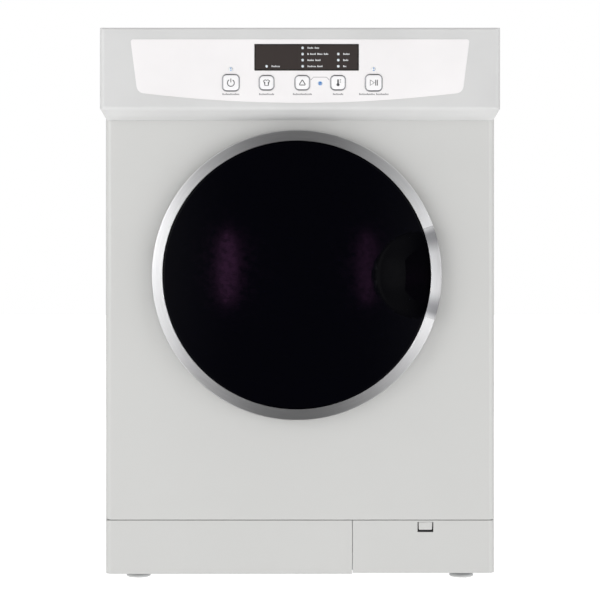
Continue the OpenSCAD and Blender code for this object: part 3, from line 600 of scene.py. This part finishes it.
def build_trim_ring():
    """The door's folded steel ring, slotted for the hinge, and the grip that fills its gap."""
    depth = RING_DEPTH / MM
    corner = (RING_R - RING_W, RING_Y)
    width = RING_W / MM
    section = in_mm(
        [(0, 7.5), (0, 0), (width, 0), (width, depth), (width - 1.4, depth), (width - 1.4, 1.7),
         (1.5, 1.7), (1.5, 7.5)],
        [0.4, 0.8, 1.6, 0.4, 0.4, 0.6, 0.6, 0.4], 5, corner)
    ring = lathe("trim_ring_polished", section, mat("trim_steel"), "door",
                 steps=280, start=GRIP_END, sweep=360 - GRIP_SWEEP, sharp=50)
    left = AXIS[0] - RING_R
    slot_height = 7 * MM
    slots = []
    for below_axis in (36.5 * MM, -29.5 * MM):
        z = AXIS[1] - below_axis
        slots.append(((left - 5 * MM, RING_Y + 2.4 * MM, z),
                      (left + 21 * MM, RING_Y + 22.5 * MM, z + slot_height)))
    notch(ring, slots, 50)
    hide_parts("door_trim_ring")
    grip = in_mm(
        [(0, 6), (0, 3.6), (width, 0.05), (width, depth), (width - 2, depth), (width - 2, 2.6),
         (2.4, 5.6), (2.4, 6.6)],
        [0.8, 1.2, 1.0, 0.4, 0.4, 0.8, 0.4, 0.3], 5, corner)
    play = 0.05
    handle = lathe("handle_grip_polished", grip, grip_steel().mat, "door",
                   steps=60, start=GRIP_START + play, sweep=GRIP_SWEEP - 2 * play, sharp=50)
    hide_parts("door_handle")


def build_glass_bowl():
    """The clear bowl behind the dome, domed at its tip and flanged at its rim."""
    low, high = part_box("door_glass")
    tip, flange = high.y, low.y
    rise = (tip - flange) / MM
    section = in_mm(
        [(0.5, rise - 2), (60, rise - 0.6), (125, rise - 2), (157, 3.6), (172, 3.4),
         (172, 0), (153.8, 0), (122.4, rise - 6), (60, rise - 4.6), (0.5, rise - 6)],
        [0, 0, 30, 3, 1, 1, 3, 26, 0, 0], 8, (0, flange))
    bowl = lathe("glass_bowl_moulded", section, mat("door_glass"), "door", steps=160, sharp=60)
    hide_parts("door_glass")


# ---------- controls ----------


def inlay_outline():
    """The white strip's outline: straight top, slanting ends and a bowed lower edge."""
    low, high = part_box("fascia_inlay")
    bow = 1946 * MM
    reach = 246.5 * MM
    half = high.x + 3 * MM
    steps = 24
    path = []
    for i in range(steps + 1):
        x = reach - 2 * reach * i / steps
        path.append((x, low.z + bow - sqrt(bow ** 2 - x ** 2)))
    points = path + [(-half, high.z), (half, high.z)]
    end_r, top_r = 12 * MM, 4 * MM
    radii = [end_r] + [0] * (steps - 1) + [end_r, top_r, top_r]
    return rounded(points, radii, 8)


def build_inlay():
    """The thin white overlay, cut out for the display and the keys."""
    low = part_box("fascia_inlay")[0]
    window_low, window_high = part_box("display_window")
    at = middle("display_window")
    gap = 0.5 * MM
    holes = [box_path(window_high.x - window_low.x + gap, window_high.z - window_low.z + gap, 1.2 * MM,
                      at=(at.x, at.z))]
    for name in BUTTONS:
        at = middle(name)
        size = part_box(name)[1].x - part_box(name)[0].x
        holes.append(box_path(size + 0.8 * MM, size + 0.8 * MM, 7.2 * MM, at=(at.x, at.z)))
    inlay = plate("inlay_strip", [inlay_outline()] + holes, low.y, 0.44 * MM, 0.15 * MM,
                  mat("inlay_plastic"), "cabinet")
    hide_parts("fascia_inlay")


LAMP_PITCH = 9.3 * MM
LAMP_ROW = 791 * MM


STROKE_PITCH = 1.75
STROKE_W = 1.12
WORD_GAP = 1.9


def print_marks(left, base, words, height):
    """Small upright bars of uneven height that stand for printed words, given by length in millimetres."""
    bars = []
    for word, length in enumerate(words):
        count = max(2, round(length / STROKE_PITCH))
        for i in range(count):
            tall = height if i == 0 else height * (0.70, 0.95, 0.66, 0.72)[(i * 3 + word) % 4]
            mid = left + (i + 0.5) * length / count * MM
            bars.append(box_path(STROKE_W * MM, tall * MM, 0.3 * MM, 2, (mid, base + tall / 2 * MM)))
        left += (length + WORD_GAP) * MM
    return bars


def build_display():
    """The smoked window with its border, its lamps and a mark beside each lamp."""
    low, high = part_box("display_window")
    width, height = high.x - low.x, high.z - low.z
    at = ((low.x + high.x) / 2, (low.z + high.z) / 2)
    window = plate("display_lens", [box_path(width, height, 1.0 * MM, at=at)],
                   low.y, high.y - low.y, 0.3 * MM, mat("window_plastic"), "cabinet")
    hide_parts("display_window")
    frame_black = moulded("window_frame_black", (0.010, 0.009, 0.008), 0.3)
    plate("display_border", [box_path(width - 0.7 * MM, height - 0.7 * MM, 0.8 * MM, at=at),
                             box_path(width - 3.4 * MM, height - 3.4 * MM, 0.5 * MM, at=at)],
          low.y - 0.1 * MM, 0.5 * MM, 0.08 * MM, frame_black.mat, "cabinet")
    lamps = [(-50.5 * MM, LAMP_ROW)]
    for x, count in ((4, 4), (58, 3)):
        lamps += [(x * MM, LAMP_ROW + LAMP_PITCH * i) for i in range(count)]
    plate("display_lamps", [arc(x, z, 2 * MM, 0, 345, 23) for x, z in lamps], low.y - 0.2 * MM, 0.6 * MM,
          0.15 * MM, lamp_white.mat, "cabinet")
    words = [(13,), (13, 8), (10, 8), (2, 9, 8, 7), (9, 7), (5,), (8,), (10,)]
    bars = []
    for (x, z), lengths in zip(lamps, words):
        bars += print_marks(x + 7.2 * MM, z - 1.3 * MM, lengths, 2.7)
    plate("display_marks", bars, low.y - 0.06 * MM, 0.3 * MM, 0.04 * MM, print_white.mat,
          "cabinet", 1)


KEY_CORNER = 6.8
CAP_STEPS = [(5.6, 0.25), (1.5, 0.25), (1.2, 0.5), (0.75, 1.35), (0.5, 1.7), (0.28, 2.4), (0.12, 3.6),
             (0.04, 5.5), (0.0, 8.0)]
RIM_STEPS = [(1.9, 0.2), (1.9, 0.0), (0.7, 0.0), (0.3, 0.15), (0.08, 0.5), (0.06, 0.9), (0.22, 1.3),
             (0.6, 1.5), (1.1, 1.5)]


def key_rings(name, steps):
    """Square rings about a key, each set back from its face and in from its edge by (drop, inset)."""
    low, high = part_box(name)
    at = middle(name)
    rings = []
    for drop, inset in steps:
        side = high.x - low.x - 2 * inset * MM
        ring = box_path(side, side, max(KEY_CORNER - inset, 2.0) * MM, 8, (at.x, at.z))
        rings.append([(x, low.y + drop * MM, z) for x, z in ring])
    return rings


def build_key(name):
    """A pillow-shaped square key with its stem, and the bright rim round its face."""
    body = name.replace("button", "key")
    verts, faces = loft(key_rings(name, CAP_STEPS))
    key = add_mesh(name + "_cap", verts, faces, mat("key_plastic"), body, 60)
    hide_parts(name)
    verts, faces = loft(key_rings(name, RIM_STEPS), False, False)
    rim = add_mesh(name + "_rim", verts, faces, chrome.mat, body, 60)
    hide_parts(name)
    return middle(name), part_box(name)[0].y


def icon_loops(name):
    """Plain symbols in millimetres about the key's middle, as closed outlines."""
    if name == "power_button":
        return ribbon(arc(0, -0.4, 5.2, 122, 418, 40), 1.3) + ribbon([(0, 0.4), (0, 6.2)], 1.3)
    if name == "refresh_button":
        shirt = [(-2.0, 4.4), (-4.9, 2.4), (-3.7, 0.6), (-2.6, 1.3), (-2.6, -4.4), (2.6, -4.4), (2.6, 1.3),
                 (3.7, 0.6), (4.9, 2.4), (2.0, 4.4), (0, 3.3)]
        return ribbon(shirt, 1.2, True)
    if name == "program_button":
        return ribbon(rounded([(-4.9, -3.6), (4.9, -3.6), (0, 4.6)], [0.8] * 3, 5), 1.3, True)
    if name == "temperature_button":
        bulb = arc(0, -3.0, 2.3, 120, 420, 26)
        return [bulb + [(1.1, 4.0)] + arc(0, 4.0, 1.1, 10, 170, 8) + [(-1.1, 4.0)]] + [
            [(2.4, z), (4.4, z), (4.4, z + 0.8), (2.4, z + 0.8)] for z in (0.2, 2.2, 4.2)]
    return ribbon([(-5.4, -4.2), (0.6, 0), (-5.4, 4.2)], 1.3, True) + [
        [(x, -4.4), (x + 1.3, -4.4), (x + 1.3, 4.4), (x, 4.4)] for x in (2.2, 4.7)]


def build_keys():
    """The keys, a symbol on each that moves with it, and a mark below each."""
    labels = {"power_button": (26,), "refresh_button": (23,), "program_button": (29,),
              "temperature_button": (16,), "start_button": (24, 19)}
    for name in BUTTONS:
        at, face = build_key(name)
        outline = shifted(icon_loops(name), at.x, at.z, MM)
        plate(name + "_icon", outline, face - 0.08 * MM, 0.4 * MM, 0.05 * MM, icon_grey.mat,
              name.replace("button", "key"), 1)
        total = sum(labels[name]) + WORD_GAP * (len(labels[name]) - 1)
        bars = print_marks(at.x - total / 2 * MM, at.z - 18.6 * MM, labels[name], 2.9)
        plate(name + "_label", bars, INLAY_Y - 0.05 * MM, 0.3 * MM, 0.04 * MM, label_grey.mat, "cabinet",
              1)


def build_blue_lights():
    """A pair of blue windows above each large key, and a round one between the two middle keys."""
    for spot, side in ((middle("power_button"), "left"), (middle("start_button"), "right")):
        pair = [box_path(2.4 * MM, 2.6 * MM, 1.0 * MM, 5, (spot.x, spot.z + dz * MM)) for dz in (18.9, 22.1)]
        plate("blue_light_" + side, pair, INLAY_Y - 0.3 * MM, 0.9 * MM, 0.2 * MM, dial_blue.mat,
              "cabinet")
    mid = (middle("program_button") + middle("temperature_button")) / 2
    z = mid.z - 1.2 * MM
    plate("blue_light_middle", [arc(mid.x, z, 3.3 * MM, 0, 345, 23)], INLAY_Y - 0.3 * MM, 0.9 * MM, 0.25 * MM,
          dial_blue.mat, "cabinet")
    bracket = [(-14.4, 5.2), (-10, 9.7), (9.6, 9.7), (14, 5.2)]
    line = ribbon([(mid.x + px * MM, z + pz * MM) for px, pz in bracket], 0.7 * MM)
    plate("light_bracket_line", line, INLAY_Y - 0.05 * MM, 0.3 * MM, 0.04 * MM, label_grey.mat, "cabinet",
          1)


# ---------- casing ----------


def build_worktop():
    """A pressed lid with rounded edges, hollow below."""
    low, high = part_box("worktop")
    mid = (low + high) / 2
    size = high - low
    rings = []
    edge, corner_r, wall = 4 * MM, 6 * MM, 1.4 * MM
    levels = [(low.z, 0.0), (high.z - edge, 0.0)]
    for turn in range(15, 91, 15):
        a = radians(turn)
        levels.append((high.z - edge + edge * sin(a), edge * (1 - cos(a))))
    for z, inset in levels:
        ring = box_path(size.x - 2 * inset, size.y - 2 * inset, corner_r - inset * 0.9, 8, (mid.x, mid.y))
        rings.append([(x, y, z) for x, y in ring])
    inner = box_path(size.x - 2 * wall, size.y - 2 * wall, corner_r - wall, 8, (mid.x, mid.y))
    rings.insert(0, [(x, y, low.z) for x, y in inner])
    rings.insert(0, [(x, y, high.z - edge - 1.5 * MM) for x, y in inner])
    verts, faces = loft(rings)
    top = add_mesh("worktop_pressed", verts, faces, mat("cabinet_paint"), "cabinet", 50)
    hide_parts("worktop")


def build_side_panel(name, side):
    """A sheet with a shallow pressed panel, its folded edges rounded."""
    low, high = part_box(name)
    outer = high.x if side > 0 else low.x
    width, height = high.y - low.y, high.z - low.z
    at = ((low.y + high.y) / 2, (low.z + high.z) / 2)

    def ring(inset, depth, radius):
        path = box_path(width - 2 * inset * MM, height - 2 * inset * MM, radius * MM, 8, at)
        return [(outer - side * depth * MM, y, z) for y, z in path]

    inside = [(53, 3.0, 12), (44, 0.8, 14), (1.0, 0.8, 0.6)]
    outside = [(0.0, 1.0, 0.4), (0.3, 0.3, 0.6), (1.0, 0.0, 1.2), (44.0, 0.0, 14.0)]
    for i in range(1, 9):
        t = i / 8
        outside.append((44 + 9 * t, 2.2 * t * t * (3 - 2 * t), 14 - 2 * t))
    verts, faces = loft([ring(*step) for step in inside + outside])
    if side < 0:
        faces = [face[::-1] for face in faces]
    panel = add_mesh(name + "_pressed", verts, faces, mat("cabinet_paint"), "cabinet", 50)
    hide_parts(name)
    flange = plate(name + "_rear_flange",
                   [box_path(19 * MM, height - 60 * MM, 1 * MM, at=(outer - side * 10.3 * MM, at[1]))],
                   high.y - 1.5 * MM, 0.65 * MM, 0.05 * MM, mat("cabinet_paint"), "cabinet",
                   1)
    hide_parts(name)


def build_rear_louvres():
    """A pressed hood over each air slot in the rear cover."""
    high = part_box("rear_panel")[1]
    pitch, bulge, rise = 21 * MM, 4.2 * MM, 8.5 * MM
    swell = [(52, 0.0), (50, 0.6), (46, 1.0), (-46, 1.0), (-50, 0.6), (-52, 0.0)]
    skins = []
    for side in (-1, 1):
        for i in range(9):
            x = side * 88 * MM
            z = AXIS[1] + (i - 4) * pitch
            rings = []
            for k in range(9):
                a = radians(90 * k / 8)
                rings.append([(x + dx * MM, high.y - 0.3 * MM + bulge * s * cos(a),
                               z - 3 * MM + rise * sin(a)) for dx, s in swell])
            skins.append(loft(rings, False, False, False))
    verts, faces = joined(skins)
    hoods = add_mesh("rear_louvre_hoods", verts, faces, mat("galvanised"), "cabinet", 50)
    wall = hoods.modifiers.new("sheet", "SOLIDIFY")
    wall.thickness = 0.8 * MM
    wall.offset = -1


def build_front_seams():
    """A black strip behind the seam over the kick plate, as painted shade in that gap, and one in the
    cabinet's paint beside the flap.
    """
    kick_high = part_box("kick_plate")[1]
    half = CAB_HIGH.x - 4 * MM
    # Painted shade: a black rubber strip stands in for the shade inside the seam gap above the kick plate.
    strip = corners(-half, kick_high.z + 0.1 * MM, half, CAB_LOW.z - 0.05 * MM)
    plate("kick_seam_shade_strip", [strip], FRONT_Y + 0.35 * MM, 1.2 * MM, 0.05 * MM, mat("seal_rubber"),
          "cabinet", 1)
    post = corners(kick_high.x - 0.2 * MM, 34 * MM, kick_high.x + 0.3 * MM, kick_high.z - 0.5 * MM)
    plate("flap_seam_strip", [post], FRONT_Y + 0.5 * MM, 1.0 * MM, 0.05 * MM, mat("cabinet_paint"),
          "cabinet", 1)


def build_latch():
    """The flap's latch: a black slide behind, and the painted button that a finger pulls."""
    low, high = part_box("flap_latch")
    at = middle("flap_latch")
    slide_y = FRONT_Y + 2.8 * MM
    slide = plate("latch_slide", [box_path(high.x - low.x, high.z - low.z, 1.5 * MM, at=(at.x, at.z))],
                  slide_y, high.y - slide_y, 0.3 * MM, mat("black_plastic"), "latch")
    path = in_mm([(-10.2, 7.2), (10.2, 7.2), (10.6, 18.8), (-10.6, 18.8)], [1.6, 1.6, 0.3, 0.3], 5,
                 (at.x, low.z))
    button = plate("latch_button", [path], low.y, 3.4 * MM, 0.5 * MM, mat("cabinet_paint"), "latch")
    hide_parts("flap_latch")
    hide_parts("flap_latch")


PAD_PROFILE = [(0.0002, 0), (15, 0), (17.6, 0.4), (18.8, 1.6), (19, 3), (18.4, 4.6), (16.6, 6.2), (13, 7),
               (0.0002, 7)]
NUT_PROFILE = [(9.2, 7), (10, 7.5), (10, 12.5), (9.2, 13)]
THREAD_PITCH = 1.5


def turned_about(at, profile, sides):
    """The skin of a profile of (radius, height) in millimetres, turned about the Z axis through at."""
    return loft([[(at.x + r * MM * cos(2 * pi * i / sides), at.y + r * MM * sin(2 * pi * i / sides), z * MM)
                  for i in range(sides)] for r, z in profile])


def build_feet():
    """A rubber pad, a hexagon and a threaded stem for each foot."""
    for name, body in (("left_front_foot", "foot_lf"), ("left_rear_foot", "foot_lr"),
                       ("right_front_foot", "foot_rf"), ("right_rear_foot", "foot_rr")):
        at = middle(name)
        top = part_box(name)[1].z / MM
        verts, faces = turned_about(at, PAD_PROFILE, 48)
        pad = add_mesh(name + "_pad", verts, faces, foot_rubber.mat, body, 50)
        stem = []
        z = NUT_PROFILE[-1][1]
        while z + THREAD_PITCH < top:
            stem += [(r, z + dz) for r, dz in ((4.3, 0.0), (5.0, 0.5), (5.0, 0.75), (4.3, 1.25))]
            z += THREAD_PITCH
        verts, faces = joined([turned_about(at, NUT_PROFILE, 6), turned_about(at, stem, 24)])
        screw = add_mesh(name + "_screw", verts, faces, mat("machine_steel"), body, 30)
        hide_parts(name)
        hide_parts(name)


# ---------- inside ----------


def build_filter_mesh():
    """Fine woven wires across the lint filter's frame."""
    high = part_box("lint_filter")[1]
    y = high.y - 6.4 * MM
    radius = 100.5 * MM
    verts, faces = [], []
    pitch = 4 * MM
    wire_r = 0.35 * MM
    count = int(radius / pitch)
    for along_x in (True, False):
        for i in range(-count, count + 1):
            c = i * pitch
            reach = sqrt(radius ** 2 - c * c)
            a, b = (AXIS[0] - reach, AXIS[0] + reach) if along_x else (AXIS[1] - reach, AXIS[1] + reach)
            mid = (AXIS[1] if along_x else AXIS[0]) + c
            shift = wire_r if along_x else 0
            n = len(verts)
            for end in (a, b):
                for du, dy in ((-wire_r, 0), (0, -wire_r), (wire_r, 0), (0, wire_r)):
                    x, z = (end, mid + du) if along_x else (mid + du, end)
                    verts.append((x, y + shift + dy, z))
            faces += [(n + k, n + (k + 1) % 4, n + 4 + (k + 1) % 4, n + 4 + k) for k in range(4)]
            faces += [(n + 3, n + 2, n + 1, n), (n + 4, n + 5, n + 6, n + 7)]
    add_mesh("lint_filter_weave", verts, faces, mat("machine_steel"), "filter")


def tube_along(points, radius, sides=8):
    """Vertices and faces of a round tube that follows points, kept upright by a steady frame."""
    rings = []
    path = [Vector(p) for p in points]
    up = Vector((0, 1, 0))
    for i, p in enumerate(path):
        ahead = (path[min(i + 1, len(path) - 1)] - path[max(i - 1, 0)]).normalized()
        side = ahead.cross(up)
        side = side.normalized() if side.length > 1e-6 else Vector((1, 0, 0))
        up = side.cross(ahead).normalized()
        rings.append([tuple(p + (side * cos(2 * pi * k / sides) + up * sin(2 * pi * k / sides)) * radius)
                      for k in range(sides)])
    return loft(rings)


def build_heater_coil():
    """Three wound resistance wires round the axis, on ceramic spacers."""
    mid = middle("heater_coil").y
    start, sweep = -8, 210
    wind_r, wire_r, pitch, sides = 5.2 * MM, 0.7 * MM, 9 * MM, 10
    skins = []
    for r in (156 * MM, 181 * MM, 206 * MM):
        steps = int(r * radians(sweep) / pitch) * sides
        points = []
        for i in range(steps + 1):
            a = radians(start + sweep * i / steps)
            b = 2 * pi * i / sides
            reach = r + wind_r * cos(b)
            points.append((AXIS[0] + reach * cos(a), mid + wind_r * sin(b), AXIS[1] + reach * sin(a)))
        skins.append(tube_along(points, wire_r, 5))
    verts, faces = joined(skins)
    wires = add_mesh("heater_coil_windings", verts, faces, mat("heater_wire"), "cabinet", 60)
    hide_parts("heater_coil")
    skins = []
    spacer_r = 181.5 * MM
    length, height = 71, 16
    for a in range(-2, 199, 40):
        t = radians(a)
        rings = []
        for inset, off in ((0.3, -2.0), (0, -1.7), (0, 1.7), (0.3, 2.0)):
            path = box_path((length - 2 * inset) * MM, (height - 2 * inset) * MM, 2 * MM, 4)
            rings.append([(AXIS[0] + (spacer_r + u) * cos(t) - off * MM * sin(t), mid + v,
                           AXIS[1] + (spacer_r + u) * sin(t) + off * MM * cos(t)) for u, v in path])
        skins.append(loft(rings))
    verts, faces = joined(skins)
    ceramic = moulded("heater_ceramic", (0.62, 0.58, 0.50), 0.7)
    add_mesh("heater_spacers", verts, faces, ceramic.mat, "cabinet", 50)


def build_tension_spring():
    """The idler's coil spring, with a straight hook wire at each end."""
    low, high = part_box("idler_spring")
    at = (low + high) / 2
    turns, sides, coil_r, wire_r = 44, 14, 4.4 * MM, 0.8 * MM
    straight, bend, hook = 8 * MM, 10.5 * MM, 12 * MM
    steps = turns * sides
    coil = []
    for i in range(steps + 1):
        a = 2 * pi * i / sides
        coil.append((at.x + coil_r * cos(a), at.y + coil_r * sin(a),
                     low.z + hook + (high.z - low.z - 2 * hook) * i / steps))
    start_x, end_x = (coil[0][0] + at.x) / 2, (coil[-1][0] + at.x) / 2
    points = [(at.x, at.y, low.z), (at.x, at.y, low.z + straight), (start_x, at.y, low.z + bend)]
    points += coil
    points += [(end_x, at.y, high.z - bend), (at.x, at.y, high.z - straight), (at.x, at.y, high.z)]
    verts, faces = tube_along(points, wire_r, 8)
    spring = add_mesh("tension_spring_wound", verts, faces, mat("machine_steel"), "cabinet",
                      60)
    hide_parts("idler_spring")


# ---------- stage ----------


def area_light(name, at, target, size, power, color=(1, 1, 1)):
    data = bpy.data.lights.new(name, "AREA")
    data.shape = "RECTANGLE"
    data.size, data.size_y = size
    data.energy = power
    data.color = color
    obj = bpy.data.objects.new(name, data)
    scene.collection.objects.link(obj)
    obj.location = at
    obj.rotation_euler = (Vector(target) - Vector(at)).to_track_quat("-Z", "Y").to_euler()
    return obj


def build_world():
    """A plain white backdrop, and a softer grey surround that lights and reflects."""
    world = bpy.data.worlds.new("studio")
    world.use_nodes = True
    scene.world = world
    tree = world.node_tree
    surround = tree.nodes["Background"]
    surround.inputs["Color"].default_value = (1, 1, 1, 1)
    sky = tree.nodes.new("ShaderNodeTexCoord")
    split = tree.nodes.new("ShaderNodeSeparateXYZ")
    tree.links.new(sky.outputs["Generated"], split.inputs[0])

    def math(operation, first, second):
        made = tree.nodes.new("ShaderNodeMath")
        made.operation = operation
        for socket, value in zip(made.inputs, (first, second)):
            if isinstance(value, (int, float)):
                socket.default_value = value
            else:
                tree.links.new(value, socket)
        return made.outputs[0]

    def fade(source, start, end, low, high):
        made = tree.nodes.new("ShaderNodeMapRange")
        made.interpolation_type = "SMOOTHSTEP"
        for name, value in (("From Min", start), ("From Max", end), ("To Min", low), ("To Max", high)):
            made.inputs[name].default_value = value
        tree.links.new(source, made.inputs["Value"])
        return made.outputs["Result"]

    sideways = math("ABSOLUTE", split.outputs["X"], 0)
    beside = fade(sideways, 0.16, 0.58, 0.15, 1.06)
    far_out = fade(sideways, 0.68, 0.90, 1.0, 0.60)
    softboxes = math("MULTIPLY", beside, far_out)
    in_front = fade(split.outputs["Y"], -0.2, 0.3, 1.0, 0.40)
    tree.links.new(math("MULTIPLY", softboxes, in_front), surround.inputs["Strength"])
    backdrop = tree.nodes.new("ShaderNodeBackground")
    backdrop.inputs["Color"].default_value = (1, 1, 1, 1)
    backdrop.inputs["Strength"].default_value = 1.0
    path = tree.nodes.new("ShaderNodeLightPath")
    mix = tree.nodes.new("ShaderNodeMixShader")
    tree.links.new(path.outputs["Is Camera Ray"], mix.inputs[0])
    tree.links.new(surround.outputs[0], mix.inputs[1])
    tree.links.new(backdrop.outputs[0], mix.inputs[2])
    tree.links.new(mix.outputs[0], tree.nodes["World Output"].inputs["Surface"])


def build_floor():
    """A wide pale floor that the machine's shiny parts don't mirror."""
    size = 40.0
    pale = Mat("pale_floor", (0.85, 0.85, 0.85), 0.8, Specular_IOR_Level=0.1,
               Emission_Color=(1, 1, 1, 1), Emission_Strength=0.88)
    pale.gloss(pale.noise(2.0), 0.03)
    mesh = bpy.data.meshes.new("floor")
    mesh.from_pydata([(x, y, 0) for x, y in corners(-size, -size, size, size)], [], [(0, 1, 2, 3)])
    mesh.materials.append(pale.mat)
    floor = bpy.data.objects.new("floor", mesh)
    scene.collection.objects.link(floor)
    floor.visible_glossy = False


def build_lights():
    """Soft room light, two panels that light only the door ring, and two glints on the dome alone."""
    door = (AXIS[0], FRONT_Y, AXIS[1])
    standoff = FRONT_Y - 2.4
    area_light("soft_left", (-1.9, -2.2, 1.15), door, (1.5, 1.5), 10)
    area_light("soft_right", (2.1, -2.1, 0.45), door, (1.5, 1.4), 5)
    area_light("overhead", (0, 0.1, 3.4), (0, 0.1, 0.85), (3.6, 3.2), 15)
    area_light("back_soft", (0, 3.0, 1.2), (0, 0.3, 0.5), (2.6, 1.8), 20)
    receivers = bpy.data.collections.new("glint_receivers")
    receivers.objects.link(bpy.data.objects["door_cover_dome"])
    ring_only = bpy.data.collections.new("ring_receivers")
    for name in ("trim_ring_polished", "handle_grip_polished"):
        ring_only.objects.link(bpy.data.objects[name])
    for side, power in ((-1, 26), (1, 25)):
        at = (side * 2.1, standoff, 0.44)
        panel = area_light("ring_panel_%d" % (side + 1), at, door, (1.8, 2.6), power)
        panel.light_linking.receiver_collection = ring_only
    violet = (1.0, 0.35, 0.95)
    for side, power in ((-1, 0.84), (1, 0.40)):
        at = (AXIS[0] + side * 0.56, standoff, AXIS[1] + 0.10)
        glint = area_light("coating_glint_%d" % (side + 1), at, door, (0.16, 0.60), power, violet)
        glint.data.shape = "ELLIPSE"
        glint.visible_diffuse = False
        glint.light_linking.receiver_collection = receivers


def build_stage():
    build_world()
    build_floor()
    build_lights()
    scene.view_settings.view_transform = "Standard"
    scene.view_settings.look = "None"


CAMERA_BACK = 2.30
CAMERA_HEIGHT = 0.437


def build_camera():
    """A camera straight in front, close to the middle of the machine's height."""
    data = bpy.data.cameras.new("camera")
    data.lens = 89.6
    data.sensor_width = 36
    camera = bpy.data.objects.new("camera", data)
    scene.collection.objects.link(camera)
    camera.location = (0, FRONT_Y - CAMERA_BACK, CAMERA_HEIGHT)
    camera.rotation_euler = (pi / 2, 0, 0)
    scene.camera = camera


build_camera()
finish_cad_nodes()
build_door_cover()
build_trim_ring()
build_glass_bowl()
build_inlay()
build_display()
build_keys()
build_blue_lights()
build_worktop()
build_side_panel("left_side_panel", -1)
build_side_panel("right_side_panel", 1)
build_rear_louvres()
build_front_seams()
build_latch()
build_feet()
build_filter_mesh()
build_heater_coil()
build_tension_spring()
build_stage()
